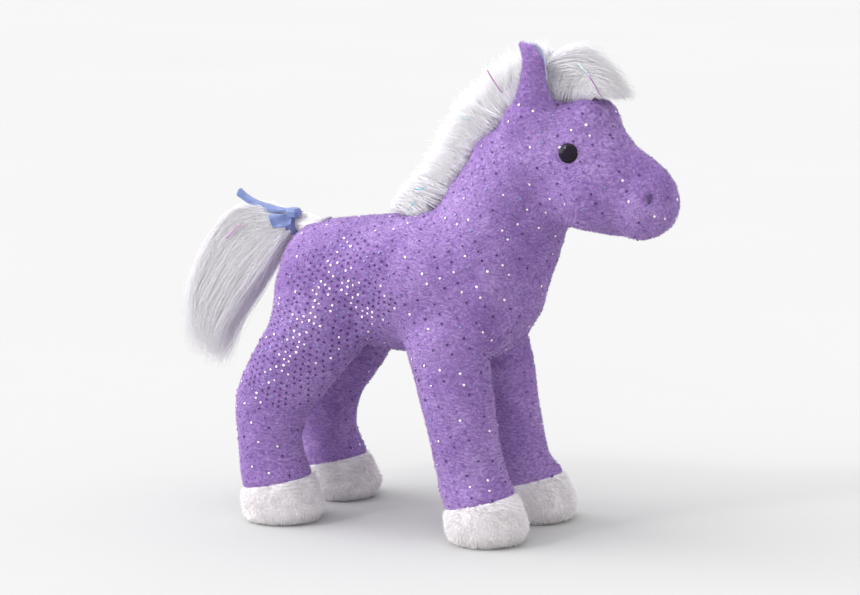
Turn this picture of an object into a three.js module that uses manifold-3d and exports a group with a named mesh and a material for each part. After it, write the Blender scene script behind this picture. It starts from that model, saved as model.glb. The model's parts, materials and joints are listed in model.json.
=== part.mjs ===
// A standing plush pony, about 23 cm tall, sewn from velboa panels over polyester stuffing.
// Millimetres. +X is forward (the nose), +Y is the pony's left, +Z is up.
// The origin is on the floor, under the middle of the bounding box.
//
// Every stuffed form is a tube of oval sections along a spine. Its cover is the outer form less a
// smaller inner one, divided at the sewing seams, and the stuffing is a still smaller form inside.
// The limbs, neck, head, ears, tail and ribbon ends move, so each sits in a rounded socket that
// leaves room for its swing.

import * as THREE from 'three';
import { mergeVertices } from 'three/addons/utils/BufferGeometryUtils.js';
import Module from 'manifold-3d';

const wasm = await Module();
wasm.setup();

// ---------------------------------------------------------------- driving dimensions

const wall = 1.6; // velboa with its pile pressed flat
const gap = 0.35; // between touching pieces
const reach = 200; // half the side of the boxes used to keep one side of a plane
const ribbonWidth = 6.4; // a quarter-inch ribbon
const ribbonThickness = 0.8;
const eyeRadius = 4.5; // a 9 mm safety eye
const limbSides = 12;
const trunkSides = 16;

const swing = { leg: 14, neck: 9, head: 10 }; // degrees each way that the sockets clear
const socketRoom = 1.06; // a socket's radius over that of the ball that turns in it

// A station is [aX, aZ, bX, bZ, y, halfWidth]. Points a and b are on the form's outline in the XZ
// plane, and the section's oval passes through both. Seen from the pony's right, a is on the left
// of the way the stations run. The first station's middle is the hinge of a form that moves.
const legs = {
	front: {
		stations: [
			[ 43.5, 90.4, 8.5, 81.6, 24, 17.5 ],
			[ 45.4, 74.1, 11.6, 65.9, 24, 17 ],
			[ 48.7, 54.7, 16.7, 47.3, 24.2, 16.2 ],
			[ 52.4, 35, 22.2, 27, 25, 15.8 ],
			[ 58.8, 22.4, 26.9, 12.8, 26.2, 17 ],
			[ 64.3, 9.4, 29.8, 4, 27.2, 18.3 ],
		],
		seam: { at: [ 42, 18 ], slope: 15 },
	},
	hind: {
		stations: [
			[ - 24.1, 80, - 59.9, 102, 23, 18.5 ],
			[ - 36.9, 63.2, - 72, 84.2, 24, 17.5 ],
			[ - 47.9, 49.7, - 82.4, 59.8, 24.8, 16.6 ],
			[ - 51, 36.2, - 82, 35.8, 26, 15.8 ],
			[ - 46.7, 21.2, - 78.8, 15.8, 27.8, 16.8 ],
			[ - 41.1, 8.6, - 76.4, 4.4, 28.8, 18.2 ],
		],
		seam: { at: [ - 62, 18 ], slope: 12 },
	},
};
const soleCap = 14; // how far a leg's rounded end would reach past its last station

const torso = {
	stations: [
		[ - 50, 140, - 46, 86, 0, 30 ],
		[ - 28, 143.5, - 28, 81.5, 0, 32.5 ],
		[ - 6, 146, - 6, 80, 0, 33.5 ],
		[ 20, 144.7, 12, 79.3, 0, 34 ],
		[ 43.6, 134.7, 30.4, 79.3, 0, 30 ],
	],
	startCap: 22,
	endCap: 21,
	gussetHalfWidth: 13, // the panel between the side panels, along the belly and chest
};

const neck = {
	stations: [
		[ 7.1, 147.4, 60.9, 116.6, 0, 25 ],
		[ 15.1, 161.4, 68.9, 130.6, 0, 24 ],
		[ 24.8, 174.4, 75.2, 145.6, 0, 22.5 ],
	],
	startCap: 31,
	endCap: 10,
};

const head = {
	stations: [
		[ 61.5, 202, 62.5, 142, 0, 22 ],
		[ 85, 202.6, 82, 141.6, 0, 22.5 ],
		[ 98, 192.8, 96, 140.4, 0, 20.5 ],
		[ 113.5, 178.4, 108, 139.8, 0, 17.5 ],
	],
	startCap: 30,
	endCap: 20,
	gussetHalfWidth: 9, // the centre strip from the poll over the forehead to the nose
	chinLevel: 152, // and down to here, where the side panels meet under the muzzle
};

const ear = { base: [ 63.6, 12, 195 ], height: 31, width: 23, tipWidth: 9, lean: 6, layer: 1.3 };
const eye = { at: [ 83.2, 21.4, 180.2 ], dome: 2.6, shankRadius: 1.5, shankLength: 9, washerRadius: 5 };
const nostril = { at: [ 121.5, 15, 161.5 ], length: 5, radius: 1.3 };

// Long pile stands on a sewn strip: its outline runs along the roots, then back along the crown.
const mane = {
	roots: [ [ - 4, 150 ], [ 13, 163.5 ], [ 23, 176 ], [ 29, 186 ] ],
	crown: [ [ 12, 197 ], [ 0, 180 ], [ - 9, 152 ] ],
	width: 14,
};
const poll = {
	roots: [ [ 35, 194 ], [ 42, 201 ], [ 52, 204 ], [ 58, 204.5 ] ],
	crown: [ [ 57, 223 ], [ 44, 221.5 ], [ 31, 211 ], [ 24, 201 ] ],
	width: 12,
};
const forelock = {
	roots: [ [ 66, 205 ], [ 76, 205.5 ], [ 86, 205 ], [ 92, 203 ] ],
	crown: [ [ 101, 206.5 ], [ 97, 214 ], [ 86, 222 ], [ 70, 225.5 ] ],
	width: 12,
};
const tape = { width: 5, depth: 1.6 };

const dock = { at: [ - 62.5, 0, 136.6 ], radius: 4.4, length: 8 }; // the tied root of the tail
const tail = {
	stations: [
		[ - 77, 130.5, - 79.4, 138.9, 0, 4.4 ],
		[ - 83, 116, - 103, 133.5, 0, 9.5 ],
		[ - 86, 94, - 129, 107, 0, 11 ],
		[ - 92, 70, - 130, 82, 0, 9 ],
	],
	startCap: 4.4,
	endCap: 21,
};
const knot = { at: [ - 65.6, - 5.4, 142 ], size: [ 6.5, 6, 5 ] };
const streamer = { y: - 4.6, points: [ [ - 68, 143.6 ], [ - 77, 142.4 ], [ - 88, 145.6 ], [ - 98, 151 ] ] };
const shortEnd = { z: 137, points: [ [ - 65.5, 7.2 ], [ - 70, 8 ], [ - 77, 8.4 ] ] }; // over the near side

// ---------------------------------------------------------------- solids

const sides = { right: - 1, left: 1 };

function solidOf( geometry ) {

	const bare = geometry.clone();
	bare.deleteAttribute( 'normal' );
	bare.deleteAttribute( 'uv' );
	const merged = mergeVertices( bare, 1e-4 );
	return new wasm.Manifold( new wasm.Mesh( {
		numProp: 3,
		vertProperties: new Float32Array( merged.attributes.position.array ),
		triVerts: new Uint32Array( merged.index.array ),
	} ) );

}

function geometryOf( solid ) {

	const mesh = solid.getMesh();
	const geometry = new THREE.BufferGeometry();
	geometry.setAttribute( 'position', new THREE.BufferAttribute( mesh.vertProperties, 3 ) );
	geometry.setIndex( new THREE.BufferAttribute( mesh.triVerts, 1 ) );
	return geometry;

}

// The largest of a solid's separate bodies: a cut can leave a sliver beside the piece itself.
function largest( solid ) {

	return solid.decompose().reduce( ( a, b ) => ( a.volume() > b.volume() ? a : b ) );

}

function block( min, max ) {

	const size = max.map( ( v, i ) => v - min[ i ] );
	const box = new THREE.BoxGeometry( ...size );
	box.translate( ...min.map( ( v, i ) => v + size[ i ] / 2 ) );
	return solidOf( box );

}

const above = ( z ) => block( [ - reach, - reach, z ], [ reach, reach, z + 2 * reach ] );
const below = ( z ) => block( [ - reach, - reach, z - 2 * reach ], [ reach, reach, z ] );

// Everything beyond y = at on one side: the pony's right for side -1, its left for side 1.
function beside( at, side ) {

	const box = new THREE.BoxGeometry( 2 * reach, 2 * reach, 2 * reach );
	box.translate( 0, at + side * reach, reach / 2 );
	return solidOf( box );

}

// The way through a set of stations: where a section's middle, its half height and its half width
// are at t from 0 to 1.
function spineOf( stations ) {

	const through = ( points ) => new THREE.CatmullRomCurve3( points.map( ( p ) => new THREE.Vector3( ...p ) ) );
	const a = through( stations.map( ( [ x, z, , , y ] ) => [ x, y, z ] ) );
	const b = through( stations.map( ( [ , , x, z, y ] ) => [ x, y, z ] ) );
	const width = through( stations.map( ( s ) => [ s[ 5 ], 0, 0 ] ) );
	return ( t ) => ( {
		middle: a.getPoint( t ).lerp( b.getPoint( t ), 0.5 ),
		half: a.getPoint( t ).sub( b.getPoint( t ) ).multiplyScalar( 0.5 ),
		width: width.getPoint( t ).x,
	} );

}

// A stuffed form: a sphere's rings, moved along the stations, with a round cap past each end.
function stuffed( { stations, startCap, endCap }, inset = 0, around = trunkSides, capRings = 2 ) {

	const at = spineOf( stations );
	const spans = stations.length + 2;
	const rings = spans + 2 * capRings;
	const geometry = new THREE.SphereGeometry( 1, around, rings );
	const position = geometry.attributes.position;
	const across = new THREE.Vector3( 0, 1, 0 );

	for ( let i = 0; i < position.count; i ++ ) {

		const ring = Math.floor( i / ( around + 1 ) );
		const turn = 2 * Math.PI * ( i % ( around + 1 ) ) / around;
		const { middle, half, width } = at( THREE.MathUtils.clamp( ( ring - capRings ) / spans, 0, 1 ) );
		const along = new THREE.Vector3().crossVectors( across, half ).normalize();
		const past = ring < capRings ? ring - capRings : Math.max( 0, ring - capRings - spans );
		const bend = Math.PI / 2 * past / capRings;
		const cap = ( past < 0 ? startCap : endCap ) - inset;
		middle.addScaledVector( along, cap * Math.sin( bend ) );
		middle.addScaledVector( half, Math.cos( bend ) * Math.cos( turn ) * ( 1 - inset / half.length() ) );
		middle.addScaledVector( across, Math.cos( bend ) * Math.sin( turn ) * ( width - inset ) );
		position.setXYZ( i, middle.x, middle.y, middle.z );

	}

	return solidOf( geometry );

}

function mirrored( form, side ) {

	return { ...form, stations: form.stations.map( ( s ) => [ ...s.slice( 0, 4 ), side * s[ 4 ], s[ 5 ] ] ) };

}

// The room that a form's ball and shaft need as it swings about Y at its hinge.
function socket( { stations }, degrees ) {

	const at = spineOf( stations );
	const { middle, half, width } = at( 0 );
	const next = at( 1 / ( stations.length - 1 ) ).middle.sub( middle );
	const depth = half.length() * socketRoom;
	const ball = new THREE.SphereGeometry( 1, 14, 8 );
	ball.scale( depth, width * socketRoom, depth );
	const angle = THREE.MathUtils.degToRad( degrees );
	const near = depth / Math.cos( angle );
	const far = near + reach * Math.tan( angle );
	const fan = new THREE.Shape( [
		new THREE.Vector2( - near, 0 ),
		new THREE.Vector2( near, 0 ),
		new THREE.Vector2( far, reach ),
		new THREE.Vector2( - far, reach ),
	] );
	const shaft = new THREE.ExtrudeGeometry( fan, { depth: 2 * width * socketRoom, bevelEnabled: false } );
	shaft.translate( 0, 0, - width * socketRoom );
	shaft.rotateX( Math.PI / 2 );
	shaft.rotateY( Math.atan2( next.x, next.z ) );
	return solidOf( ball ).add( solidOf( shaft ) ).translate( middle.toArray() );

}

// A slab with a given outline in the XZ plane, centred on y = at.
function slab( outline, width, at = 0 ) {

	const plate = new THREE.ExtrudeGeometry( outline, { depth: width, bevelEnabled: false, curveSegments: 6 } );
	plate.rotateX( Math.PI / 2 );
	plate.translate( 0, at + width / 2, 0 );
	return solidOf( plate );

}

function splineThrough( points ) {

	return new THREE.SplineCurve( points.map( ( p ) => new THREE.Vector2( ...p ) ) );

}

// A lock of long pile: rounded in the XZ plane, flat from side to side.
function pile( { roots, crown, width } ) {

	const spans = 8;
	const outline = [
		...splineThrough( roots ).getPoints( spans ),
		...splineThrough( crown ).getPoints( spans ),
	];
	return slab( new THREE.Shape( outline ), width );

}

// A strip of ribbon or tape that follows points in the XZ plane.
function strip( points, width, thickness, at = 0 ) {

	const line = splineThrough( points );
	const spans = 5;
	const upper = [];
	const lower = [];
	for ( let i = 0; i <= spans; i ++ ) {

		const p = line.getPoint( i / spans );
		const ahead = line.getTangent( i / spans );
		const across = new THREE.Vector2( - ahead.y, ahead.x ).multiplyScalar( thickness / 2 );
		upper.push( p.clone().add( across ) );
		lower.unshift( p.clone().sub( across ) );

	}

	return slab( new THREE.Shape( [ ...upper, ...lower ] ), width, at );

}

// ---------------------------------------------------------------- materials

const finish = ( color, roughness, metalness = 0 ) =>
	new THREE.MeshStandardMaterial( { color, roughness, metalness } );

const velboa = finish( 0x9a78b8, 0.9 );
const hoofPlush = finish( 0xe6e0e2, 0.95 );
const stuffing = finish( 0xf4f4f0, 1 );
const longPile = finish( 0xf1eef2, 0.8 );
const lining = finish( 0xc9d2ec, 0.35 );
const backing = finish( 0xe9e6ea, 0.9 );
const satin = finish( 0x7f9bd6, 0.35 );
const blackPlastic = finish( 0x0d0b10, 0.12 );
const washerPlastic = finish( 0xf0f0ee, 0.45 );
const thread = finish( 0x5c3f86, 0.7 );

const pony = new THREE.Group();

function add( name, solid, material ) {

	const mesh = new THREE.Mesh( geometryOf( largest( solid ) ), material );
	mesh.name = name;
	pony.add( mesh );

}

// ---------------------------------------------------------------- legs

// Below the seam the limb is hoof plush. The seam's plane tips forward with the leg.
function belowSeam( { at, slope }, shift ) {

	const box = new THREE.BoxGeometry( 4 * reach, 4 * reach, 2 * reach );
	box.translate( 0, 0, - reach - shift );
	box.rotateY( THREE.MathUtils.degToRad( - slope ) );
	box.translate( at[ 0 ], 0, at[ 1 ] );
	return solidOf( box );

}

function addLeg( end, sideName ) {

	const side = sides[ sideName ];
	const form = mirrored( { ...legs[ end ], endCap: soleCap }, side );
	form.startCap = spineOf( form.stations )( 0 ).half.length();
	const outer = stuffed( form, 0, limbSides );
	const skin = outer.subtract( stuffed( form, wall, limbSides ) );
	const filling = stuffed( form, wall + gap, limbSides );
	const seam = legs[ end ].seam;
	const upper = skin.subtract( belowSeam( seam, - gap / 2 ) );
	const middle = form.stations[ 1 ][ 4 ];
	const name = `${ end }_${ sideName }`;

	add( `leg_outer_panel_${ name }`, upper.intersect( beside( middle + side * gap / 2, side ) ), velboa );
	add( `leg_inner_panel_${ name }`, upper.intersect( beside( middle - side * gap / 2, - side ) ), velboa );
	add( `leg_stuffing_${ name }`, filling.intersect( above( wall + gap ) ), stuffing );
	add( `hoof_cover_${ name }`, skin.intersect( belowSeam( seam, gap / 2 ) ).intersect( above( wall + gap ) ), hoofPlush );
	add( `hoof_sole_${ name }`, outer.intersect( above( 0 ) ).intersect( below( wall ) ), hoofPlush );

}

for ( const end of Object.keys( legs ) ) for ( const sideName of Object.keys( sides ) ) addLeg( end, sideName );

// ---------------------------------------------------------------- torso

const sockets = Object.values( legs ).flatMap( ( leg ) =>
	Object.values( sides ).map( ( side ) => socket( mirrored( leg, side ), swing.leg ) ) );
sockets.push( socket( neck, swing.neck ) );

const dockRoom = block(
	[ dock.at[ 0 ] - 30, - 9, dock.at[ 2 ] - 7.5 ],
	[ dock.at[ 0 ] + 5, 9, dock.at[ 2 ] + 30 ] );
const cleared = ( solid ) => sockets.reduce( ( left, room ) => left.subtract( room ), solid ).subtract( dockRoom );

const torsoSkin = cleared( stuffed( torso ).subtract( stuffed( torso, wall ) ) );
const waist = spineOf( torso.stations )( 0.5 ).middle.z;
const gussetStrip = ( spare ) => block(
	[ - reach, - torso.gussetHalfWidth - spare, 0 ],
	[ reach, torso.gussetHalfWidth + spare, waist + spare ] );
for ( const [ sideName, side ] of Object.entries( sides ) )
	add( `torso_panel_${ sideName }`, torsoSkin.subtract( gussetStrip( gap ) ).intersect( beside( side * gap / 2, side ) ), velboa );
add( 'belly_gusset', torsoSkin.intersect( gussetStrip( 0 ) ), velboa );
add( 'torso_stuffing', cleared( stuffed( torso, wall + gap ) ), stuffing );

// ---------------------------------------------------------------- neck and head

const headRoom = socket( head, swing.head );
const neckSkin = stuffed( neck ).subtract( stuffed( neck, wall ) ).subtract( headRoom );
for ( const [ sideName, side ] of Object.entries( sides ) )
	add( `neck_panel_${ sideName }`, neckSkin.intersect( beside( side * gap / 2, side ) ), velboa );
add( 'neck_stuffing', stuffed( neck, wall + gap ).subtract( headRoom ), stuffing );

// An eye's shank goes through the head's side panel and into the stuffing.
function eyePiece( radius, from, to, side ) {

	const rod = new THREE.CylinderGeometry( radius, radius, to - from, 12 );
	rod.translate( 0, ( from + to ) / 2, 0 );
	if ( side < 0 ) rod.rotateX( Math.PI );
	return solidOf( rod ).translate( [ eye.at[ 0 ], side * eye.at[ 1 ], eye.at[ 2 ] ] );

}

const shankHole = ( side ) => eyePiece( eye.shankRadius + gap, - eye.shankLength - gap, eye.dome, side );
const washerAt = - eye.shankLength + 2; // the washer's outer face, measured inwards from the eye's rim
const washerThickness = 1.2;
const nostrilAt = ( side ) => [ nostril.at[ 0 ], side * nostril.at[ 1 ], nostril.at[ 2 ] ];

const headOuter = stuffed( head );
const headSkin = headOuter.subtract( stuffed( head, wall ) );
const headStrip = ( spare ) => block(
	[ 50 - spare, - head.gussetHalfWidth - spare, head.chinLevel - spare ],
	[ reach, head.gussetHalfWidth + spare, reach + 100 ] );
for ( const [ sideName, side ] of Object.entries( sides ) ) {

	const panel = headSkin.subtract( headStrip( gap ) ).intersect( beside( side * gap / 2, side ) );
	add( `head_panel_${ sideName }`, panel.subtract( shankHole( side ) ), velboa );

}

add( 'head_gusset', headSkin.intersect( headStrip( 0 ) ), velboa );

let headFilling = stuffed( head, wall + gap );
for ( const side of Object.values( sides ) ) {

	headFilling = headFilling.subtract( shankHole( side ) );
	headFilling = headFilling.subtract( eyePiece( eye.washerRadius + gap, washerAt - washerThickness - gap, washerAt + gap, side ) );

}

add( 'head_stuffing', headFilling, stuffing );

for ( const [ sideName, side ] of Object.entries( sides ) ) {

	const dome = new THREE.SphereGeometry( eyeRadius, 16, 10 );
	dome.scale( 1, eye.dome / eyeRadius, 1 );
	const cap = solidOf( dome ).translate( [ eye.at[ 0 ], side * ( eye.at[ 1 ] + gap ), eye.at[ 2 ] ] );
	const clearOfHead = cap.subtract( stuffed( head, - gap ) );
	add( `eye_${ sideName }`, clearOfHead.add( eyePiece( eye.shankRadius, - eye.shankLength, eye.dome / 2, side ) ), blackPlastic );
	const washer = eyePiece( eye.washerRadius, washerAt - washerThickness, washerAt, side );
	add( `eye_washer_${ sideName }`, washer.subtract( shankHole( side ) ), washerPlastic );

	const bar = new THREE.CapsuleGeometry( nostril.radius, nostril.length - 2 * nostril.radius, 3, 8 );
	bar.rotateX( Math.PI / 2 );
	bar.rotateY( THREE.MathUtils.degToRad( 25 ) );
	const stitch = solidOf( bar ).translate( nostrilAt( side ) );
	add( `nostril_stitch_${ sideName }`, stitch.subtract( stuffed( head, - gap ) ), thread );

}

// ---------------------------------------------------------------- ears

// A leaf that narrows from its base to a blunt tip.
function leaf( { height, width, tipWidth }, inset ) {

	const half = width / 2 - inset;
	const tip = tipWidth / 2 - inset * 0.6;
	const top = height - inset;
	const shape = new THREE.Shape();
	shape.moveTo( - half, 0 );
	shape.lineTo( half, 0 );
	shape.bezierCurveTo( half, height * 0.4, tip * 1.6, height * 0.75, tip, top - 2 );
	shape.quadraticCurveTo( 0, top + 2, - tip, top - 2 );
	shape.bezierCurveTo( - tip * 1.6, height * 0.75, - half, height * 0.4, - half, 0 );
	return shape;

}

const earRoom = 0.9; // between an ear's foot and the head, so that the ear can lean

for ( const [ sideName, side ] of Object.entries( sides ) ) {

	const layers = [
		[ `ear_outer_${ sideName }`, 0, ear.layer, 0, velboa ],
		[ `ear_lining_${ sideName }`, - ear.layer - gap, ear.layer * 0.7, 1.6, lining ],
	];
	for ( const [ name, from, thickness, inset, material ] of layers ) {

		const layer = slab( leaf( ear, inset ), thickness, side * ( from + ear.layer / 2 ) );
		const leant = layer.rotate( [ - side * ear.lean, 0, 0 ] );
		const placed = leant.translate( [ ear.base[ 0 ], side * ear.base[ 1 ], ear.base[ 2 ] ] );
		add( name, placed.subtract( stuffed( head, - earRoom ) ), material );

	}

}

// ---------------------------------------------------------------- mane, forelock and tail

// The backing tape runs inside the pile. Both stop short of the forms they stand on.
function addLock( name, lock, keepOut ) {

	const backingTape = strip( lock.roots, tape.width, tape.depth );
	const tapeRoom = strip( lock.roots, tape.width + 2 * gap, tape.depth + 2 * gap );
	add( `${ name }_tape`, keepOut.reduce( ( left, other ) => left.subtract( other ), backingTape ), backing );
	const full = pile( lock ).subtract( tapeRoom );
	add( `${ name }_pile`, keepOut.reduce( ( left, other ) => left.subtract( other ), full ), longPile );

}

const clearHead = stuffed( head, - gap );
addLock( 'mane', mane, [ stuffed( neck, - gap ), clearHead, headRoom ] );
addLock( 'poll', poll, [ clearHead ] );
addLock( 'forelock', forelock, [ clearHead ] );

// A rod along -X from the rump: the tail's pile gathered tight under the ribbon.
function dockRod( radius, from, to, around = 14 ) {

	const rod = new THREE.CylinderGeometry( radius, radius, to - from, around );
	rod.rotateZ( Math.PI / 2 );
	rod.translate( dock.at[ 0 ] - ( from + to ) / 2, 0, dock.at[ 2 ] );
	return solidOf( rod );

}

add( 'tail_dock', dockRod( dock.radius, - 2, dock.length + 2 ), longPile );
const bandRadius = dock.radius + gap + ribbonThickness;
const bandFrom = dock.length / 2 - ribbonWidth / 2 + 1;
const band = dockRod( bandRadius, bandFrom, bandFrom + ribbonWidth ).subtract( dockRod( dock.radius + gap, - 5, 20 ) );
add( 'ribbon_band', band, satin );

add( 'tail_switch', stuffed( tail, 0, limbSides ), longPile );

function knotBall( spare ) {

	const ball = new THREE.SphereGeometry( 0.5, 12, 8 );
	ball.scale( ...knot.size.map( ( v ) => v + 2 * spare ) );
	ball.translate( ...knot.at );
	return solidOf( ball );

}

// The two ends leave the knot: one stands up behind it, the other lies along the dock's near side.
const bandRoom = dockRod( bandRadius + gap, - 5, 20 );
const endRoom = 0.8; // around the knot, so that the ends can swing
const streamerStrip = strip( streamer.points, ribbonWidth, ribbonThickness, streamer.y );
const shortStrip = strip( shortEnd.points, ribbonWidth, ribbonThickness ).rotate( [ 90, 0, 0 ] );
add( 'ribbon_knot', knotBall( 0 ).subtract( bandRoom ), satin );
add( 'ribbon_streamer', streamerStrip.subtract( knotBall( endRoom ) ).subtract( bandRoom ), satin );
add( 'ribbon_short_end', shortStrip.translate( [ 0, 0, shortEnd.z ] ).subtract( knotBall( endRoom ) ).subtract( bandRoom ), satin );

// The form reaches a little further at one end than the other: this centres it on the origin.
const bounds = new THREE.Box3().setFromObject( pony );
const middle = bounds.getCenter( new THREE.Vector3() );
for ( const mesh of pony.children ) mesh.geometry.translate( - middle.x, 0, 0 );

export default pony;
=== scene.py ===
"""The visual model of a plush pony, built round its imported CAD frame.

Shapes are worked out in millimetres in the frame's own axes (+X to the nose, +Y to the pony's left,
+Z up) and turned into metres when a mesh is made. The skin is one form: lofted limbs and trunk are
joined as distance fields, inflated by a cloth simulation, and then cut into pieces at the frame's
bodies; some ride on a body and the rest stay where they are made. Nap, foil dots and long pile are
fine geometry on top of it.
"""

import json
import math

import bpy
import numpy as np
import openvdb
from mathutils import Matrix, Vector
from mathutils.bvhtree import BVHTree
from mathutils.kdtree import KDTree


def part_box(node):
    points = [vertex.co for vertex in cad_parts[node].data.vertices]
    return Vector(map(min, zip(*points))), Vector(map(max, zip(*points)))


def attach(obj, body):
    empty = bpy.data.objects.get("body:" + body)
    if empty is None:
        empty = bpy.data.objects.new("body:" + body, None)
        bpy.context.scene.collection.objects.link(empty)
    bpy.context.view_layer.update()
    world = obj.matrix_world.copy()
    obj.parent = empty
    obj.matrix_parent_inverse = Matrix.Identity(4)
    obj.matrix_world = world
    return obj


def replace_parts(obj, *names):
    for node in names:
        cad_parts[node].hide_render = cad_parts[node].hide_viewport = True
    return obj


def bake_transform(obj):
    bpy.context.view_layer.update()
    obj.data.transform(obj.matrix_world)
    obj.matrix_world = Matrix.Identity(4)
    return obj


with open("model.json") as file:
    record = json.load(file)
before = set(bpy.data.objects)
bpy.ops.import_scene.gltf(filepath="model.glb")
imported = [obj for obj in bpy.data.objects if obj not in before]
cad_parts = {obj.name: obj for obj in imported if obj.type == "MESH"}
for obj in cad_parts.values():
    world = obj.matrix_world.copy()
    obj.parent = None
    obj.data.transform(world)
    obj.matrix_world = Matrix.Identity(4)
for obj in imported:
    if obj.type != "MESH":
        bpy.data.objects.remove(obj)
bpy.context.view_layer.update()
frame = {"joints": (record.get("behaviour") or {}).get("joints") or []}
MM = 0.001
SIDES = {"left": 1, "right": -1}

# ---------------------------------------------------------------- small tools


def rng(seed):
    return np.random.default_rng(seed)


def unit(v):
    v = np.asarray(v, float)
    return v / np.maximum(np.linalg.norm(v, axis=-1, keepdims=True), 1e-9)


def smoothstep(low, high, x):
    t = np.clip((np.asarray(x, float) - low) / (high - low), 0, 1)
    return t * t * (3 - 2 * t)


def box_mm(node):
    low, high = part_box(node)
    return np.array(low) / MM, np.array(high) / MM


def noise(points, wavelength, seed):
    """Smooth noise of about -1 to 1 at points, from a few waves that run in random directions."""
    r = rng(seed)
    total = np.zeros(len(points))
    for _ in range(9):
        way = unit(r.normal(size=3)) * 2 * math.pi / (wavelength * r.uniform(0.7, 1.5))
        total += np.sin(points @ way + r.uniform(0, 2 * math.pi))
    return total / 3.0


def through(points, t):
    """Points on the smooth line through some points, at t from 0 to 1 along it."""
    p = np.asarray(points, float)
    p = np.vstack([2 * p[0] - p[1], p, 2 * p[-1] - p[-2]])
    spans = len(p) - 3
    s = np.clip(np.asarray(t, float), 0, 1) * spans
    i = np.minimum(s.astype(int), spans - 1)
    u = (s - i)[..., None]
    a, b, c, d = p[i], p[i + 1], p[i + 2], p[i + 3]
    square = 2 * a - 5 * b + 4 * c - d
    cube = 3 * b - a - 3 * c + d
    return 0.5 * (2 * b + (c - a) * u + square * u**2 + cube * u**3)


def from_segment(points, a, b):
    """How far each point is from the straight line between a and b."""
    t = np.clip((points - a) @ (b - a) / ((b - a) @ (b - a)), 0, 1)
    return np.linalg.norm(points - a - t[:, None] * (b - a), axis=1)


def tube_faces(rings, around):
    """Quads that join each ring of points to the next one."""
    i, j = np.meshgrid(np.arange(rings - 1), np.arange(around), indexing="ij")
    a, b = (i * around + j).ravel(), (i * around + (j + 1) % around).ravel()
    return np.stack([a, b, b + around, a + around], 1)


def sheet_faces(rows, columns):
    """Quads of a grid of points."""
    i, j = np.meshgrid(np.arange(rows - 1), np.arange(columns - 1), indexing="ij")
    a = (i * columns + j).ravel()
    return np.stack([a, a + 1, a + columns + 1, a + columns], 1)


def slab_between(front, back):
    """A closed sheet between two grids of points of the same shape."""
    rows, columns, _ = front.shape
    n = rows * columns
    verts = np.vstack([front.reshape(-1, 3), back.reshape(-1, 3)])
    face = sheet_faces(rows, columns)
    top = np.arange(columns)
    right = np.arange(1, rows) * columns + columns - 1
    bottom = (rows - 1) * columns + np.arange(columns - 2, -1, -1)
    left = np.arange(rows - 2, 0, -1) * columns
    edge = np.r_[top, right, bottom, left]
    step = np.roll(edge, -1)
    rim = np.stack([edge, edge + n, step + n, step], 1)
    return verts, np.vstack([face, face[:, ::-1] + n, rim])


def make_mesh(name, verts_mm, faces, materials, slots=None, smooth=True):
    """A new object from millimetre vertices and faces that all have the same number of corners."""
    faces = np.asarray(faces, np.int32)
    mesh = bpy.data.meshes.new(name)
    mesh.vertices.add(len(verts_mm))
    mesh.vertices.foreach_set("co", (np.asarray(verts_mm, float) * MM).astype(np.float32).ravel())
    mesh.loops.add(faces.size)
    mesh.loops.foreach_set("vertex_index", faces.ravel())
    mesh.polygons.add(len(faces))
    mesh.polygons.foreach_set("loop_start", np.arange(0, faces.size, faces.shape[1], dtype=np.int32))
    for material in materials:
        mesh.materials.append(material)
    if slots is not None:
        mesh.polygons.foreach_set("material_index", np.asarray(slots, np.int32))
    mesh.polygons.foreach_set("use_smooth", np.full(len(faces), smooth))
    mesh.update(calc_edges=True)
    mesh.validate()
    thing = bpy.data.objects.new(name, mesh)
    bpy.context.scene.collection.objects.link(thing)
    return thing


def vertex_normals(verts, quads):
    a, b, c, d = (verts[quads[:, i]] for i in range(4))
    face = np.cross(c - a, d - b)
    total = np.zeros_like(verts)
    for i in range(4):
        for axis in range(3):
            total[:, axis] += np.bincount(quads[:, i], face[:, axis], len(verts))
    return unit(total)


# ---------------------------------------------------------------- materials


def new_material(name, **sockets):
    """A Principled material whose constant values are set on the shader's own sockets."""
    material = bpy.data.materials.new(name)
    material.use_nodes = True
    shader = material.node_tree.nodes["Principled BSDF"]
    for socket, value in sockets.items():
        title = socket.replace("_", " ")
        if isinstance(value, tuple) and len(value) == 3:
            value = (*value, 1.0)
        shader.inputs[title].default_value = value
    return material


def srgb(r, g, b):
    """A colour given in 0 to 255 display values, as the linear values a shader takes."""
    return tuple(((v / 255 + 0.055) / 1.055) ** 2.4 if v > 10 else v / 255 / 12.92 for v in (r, g, b))


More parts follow.
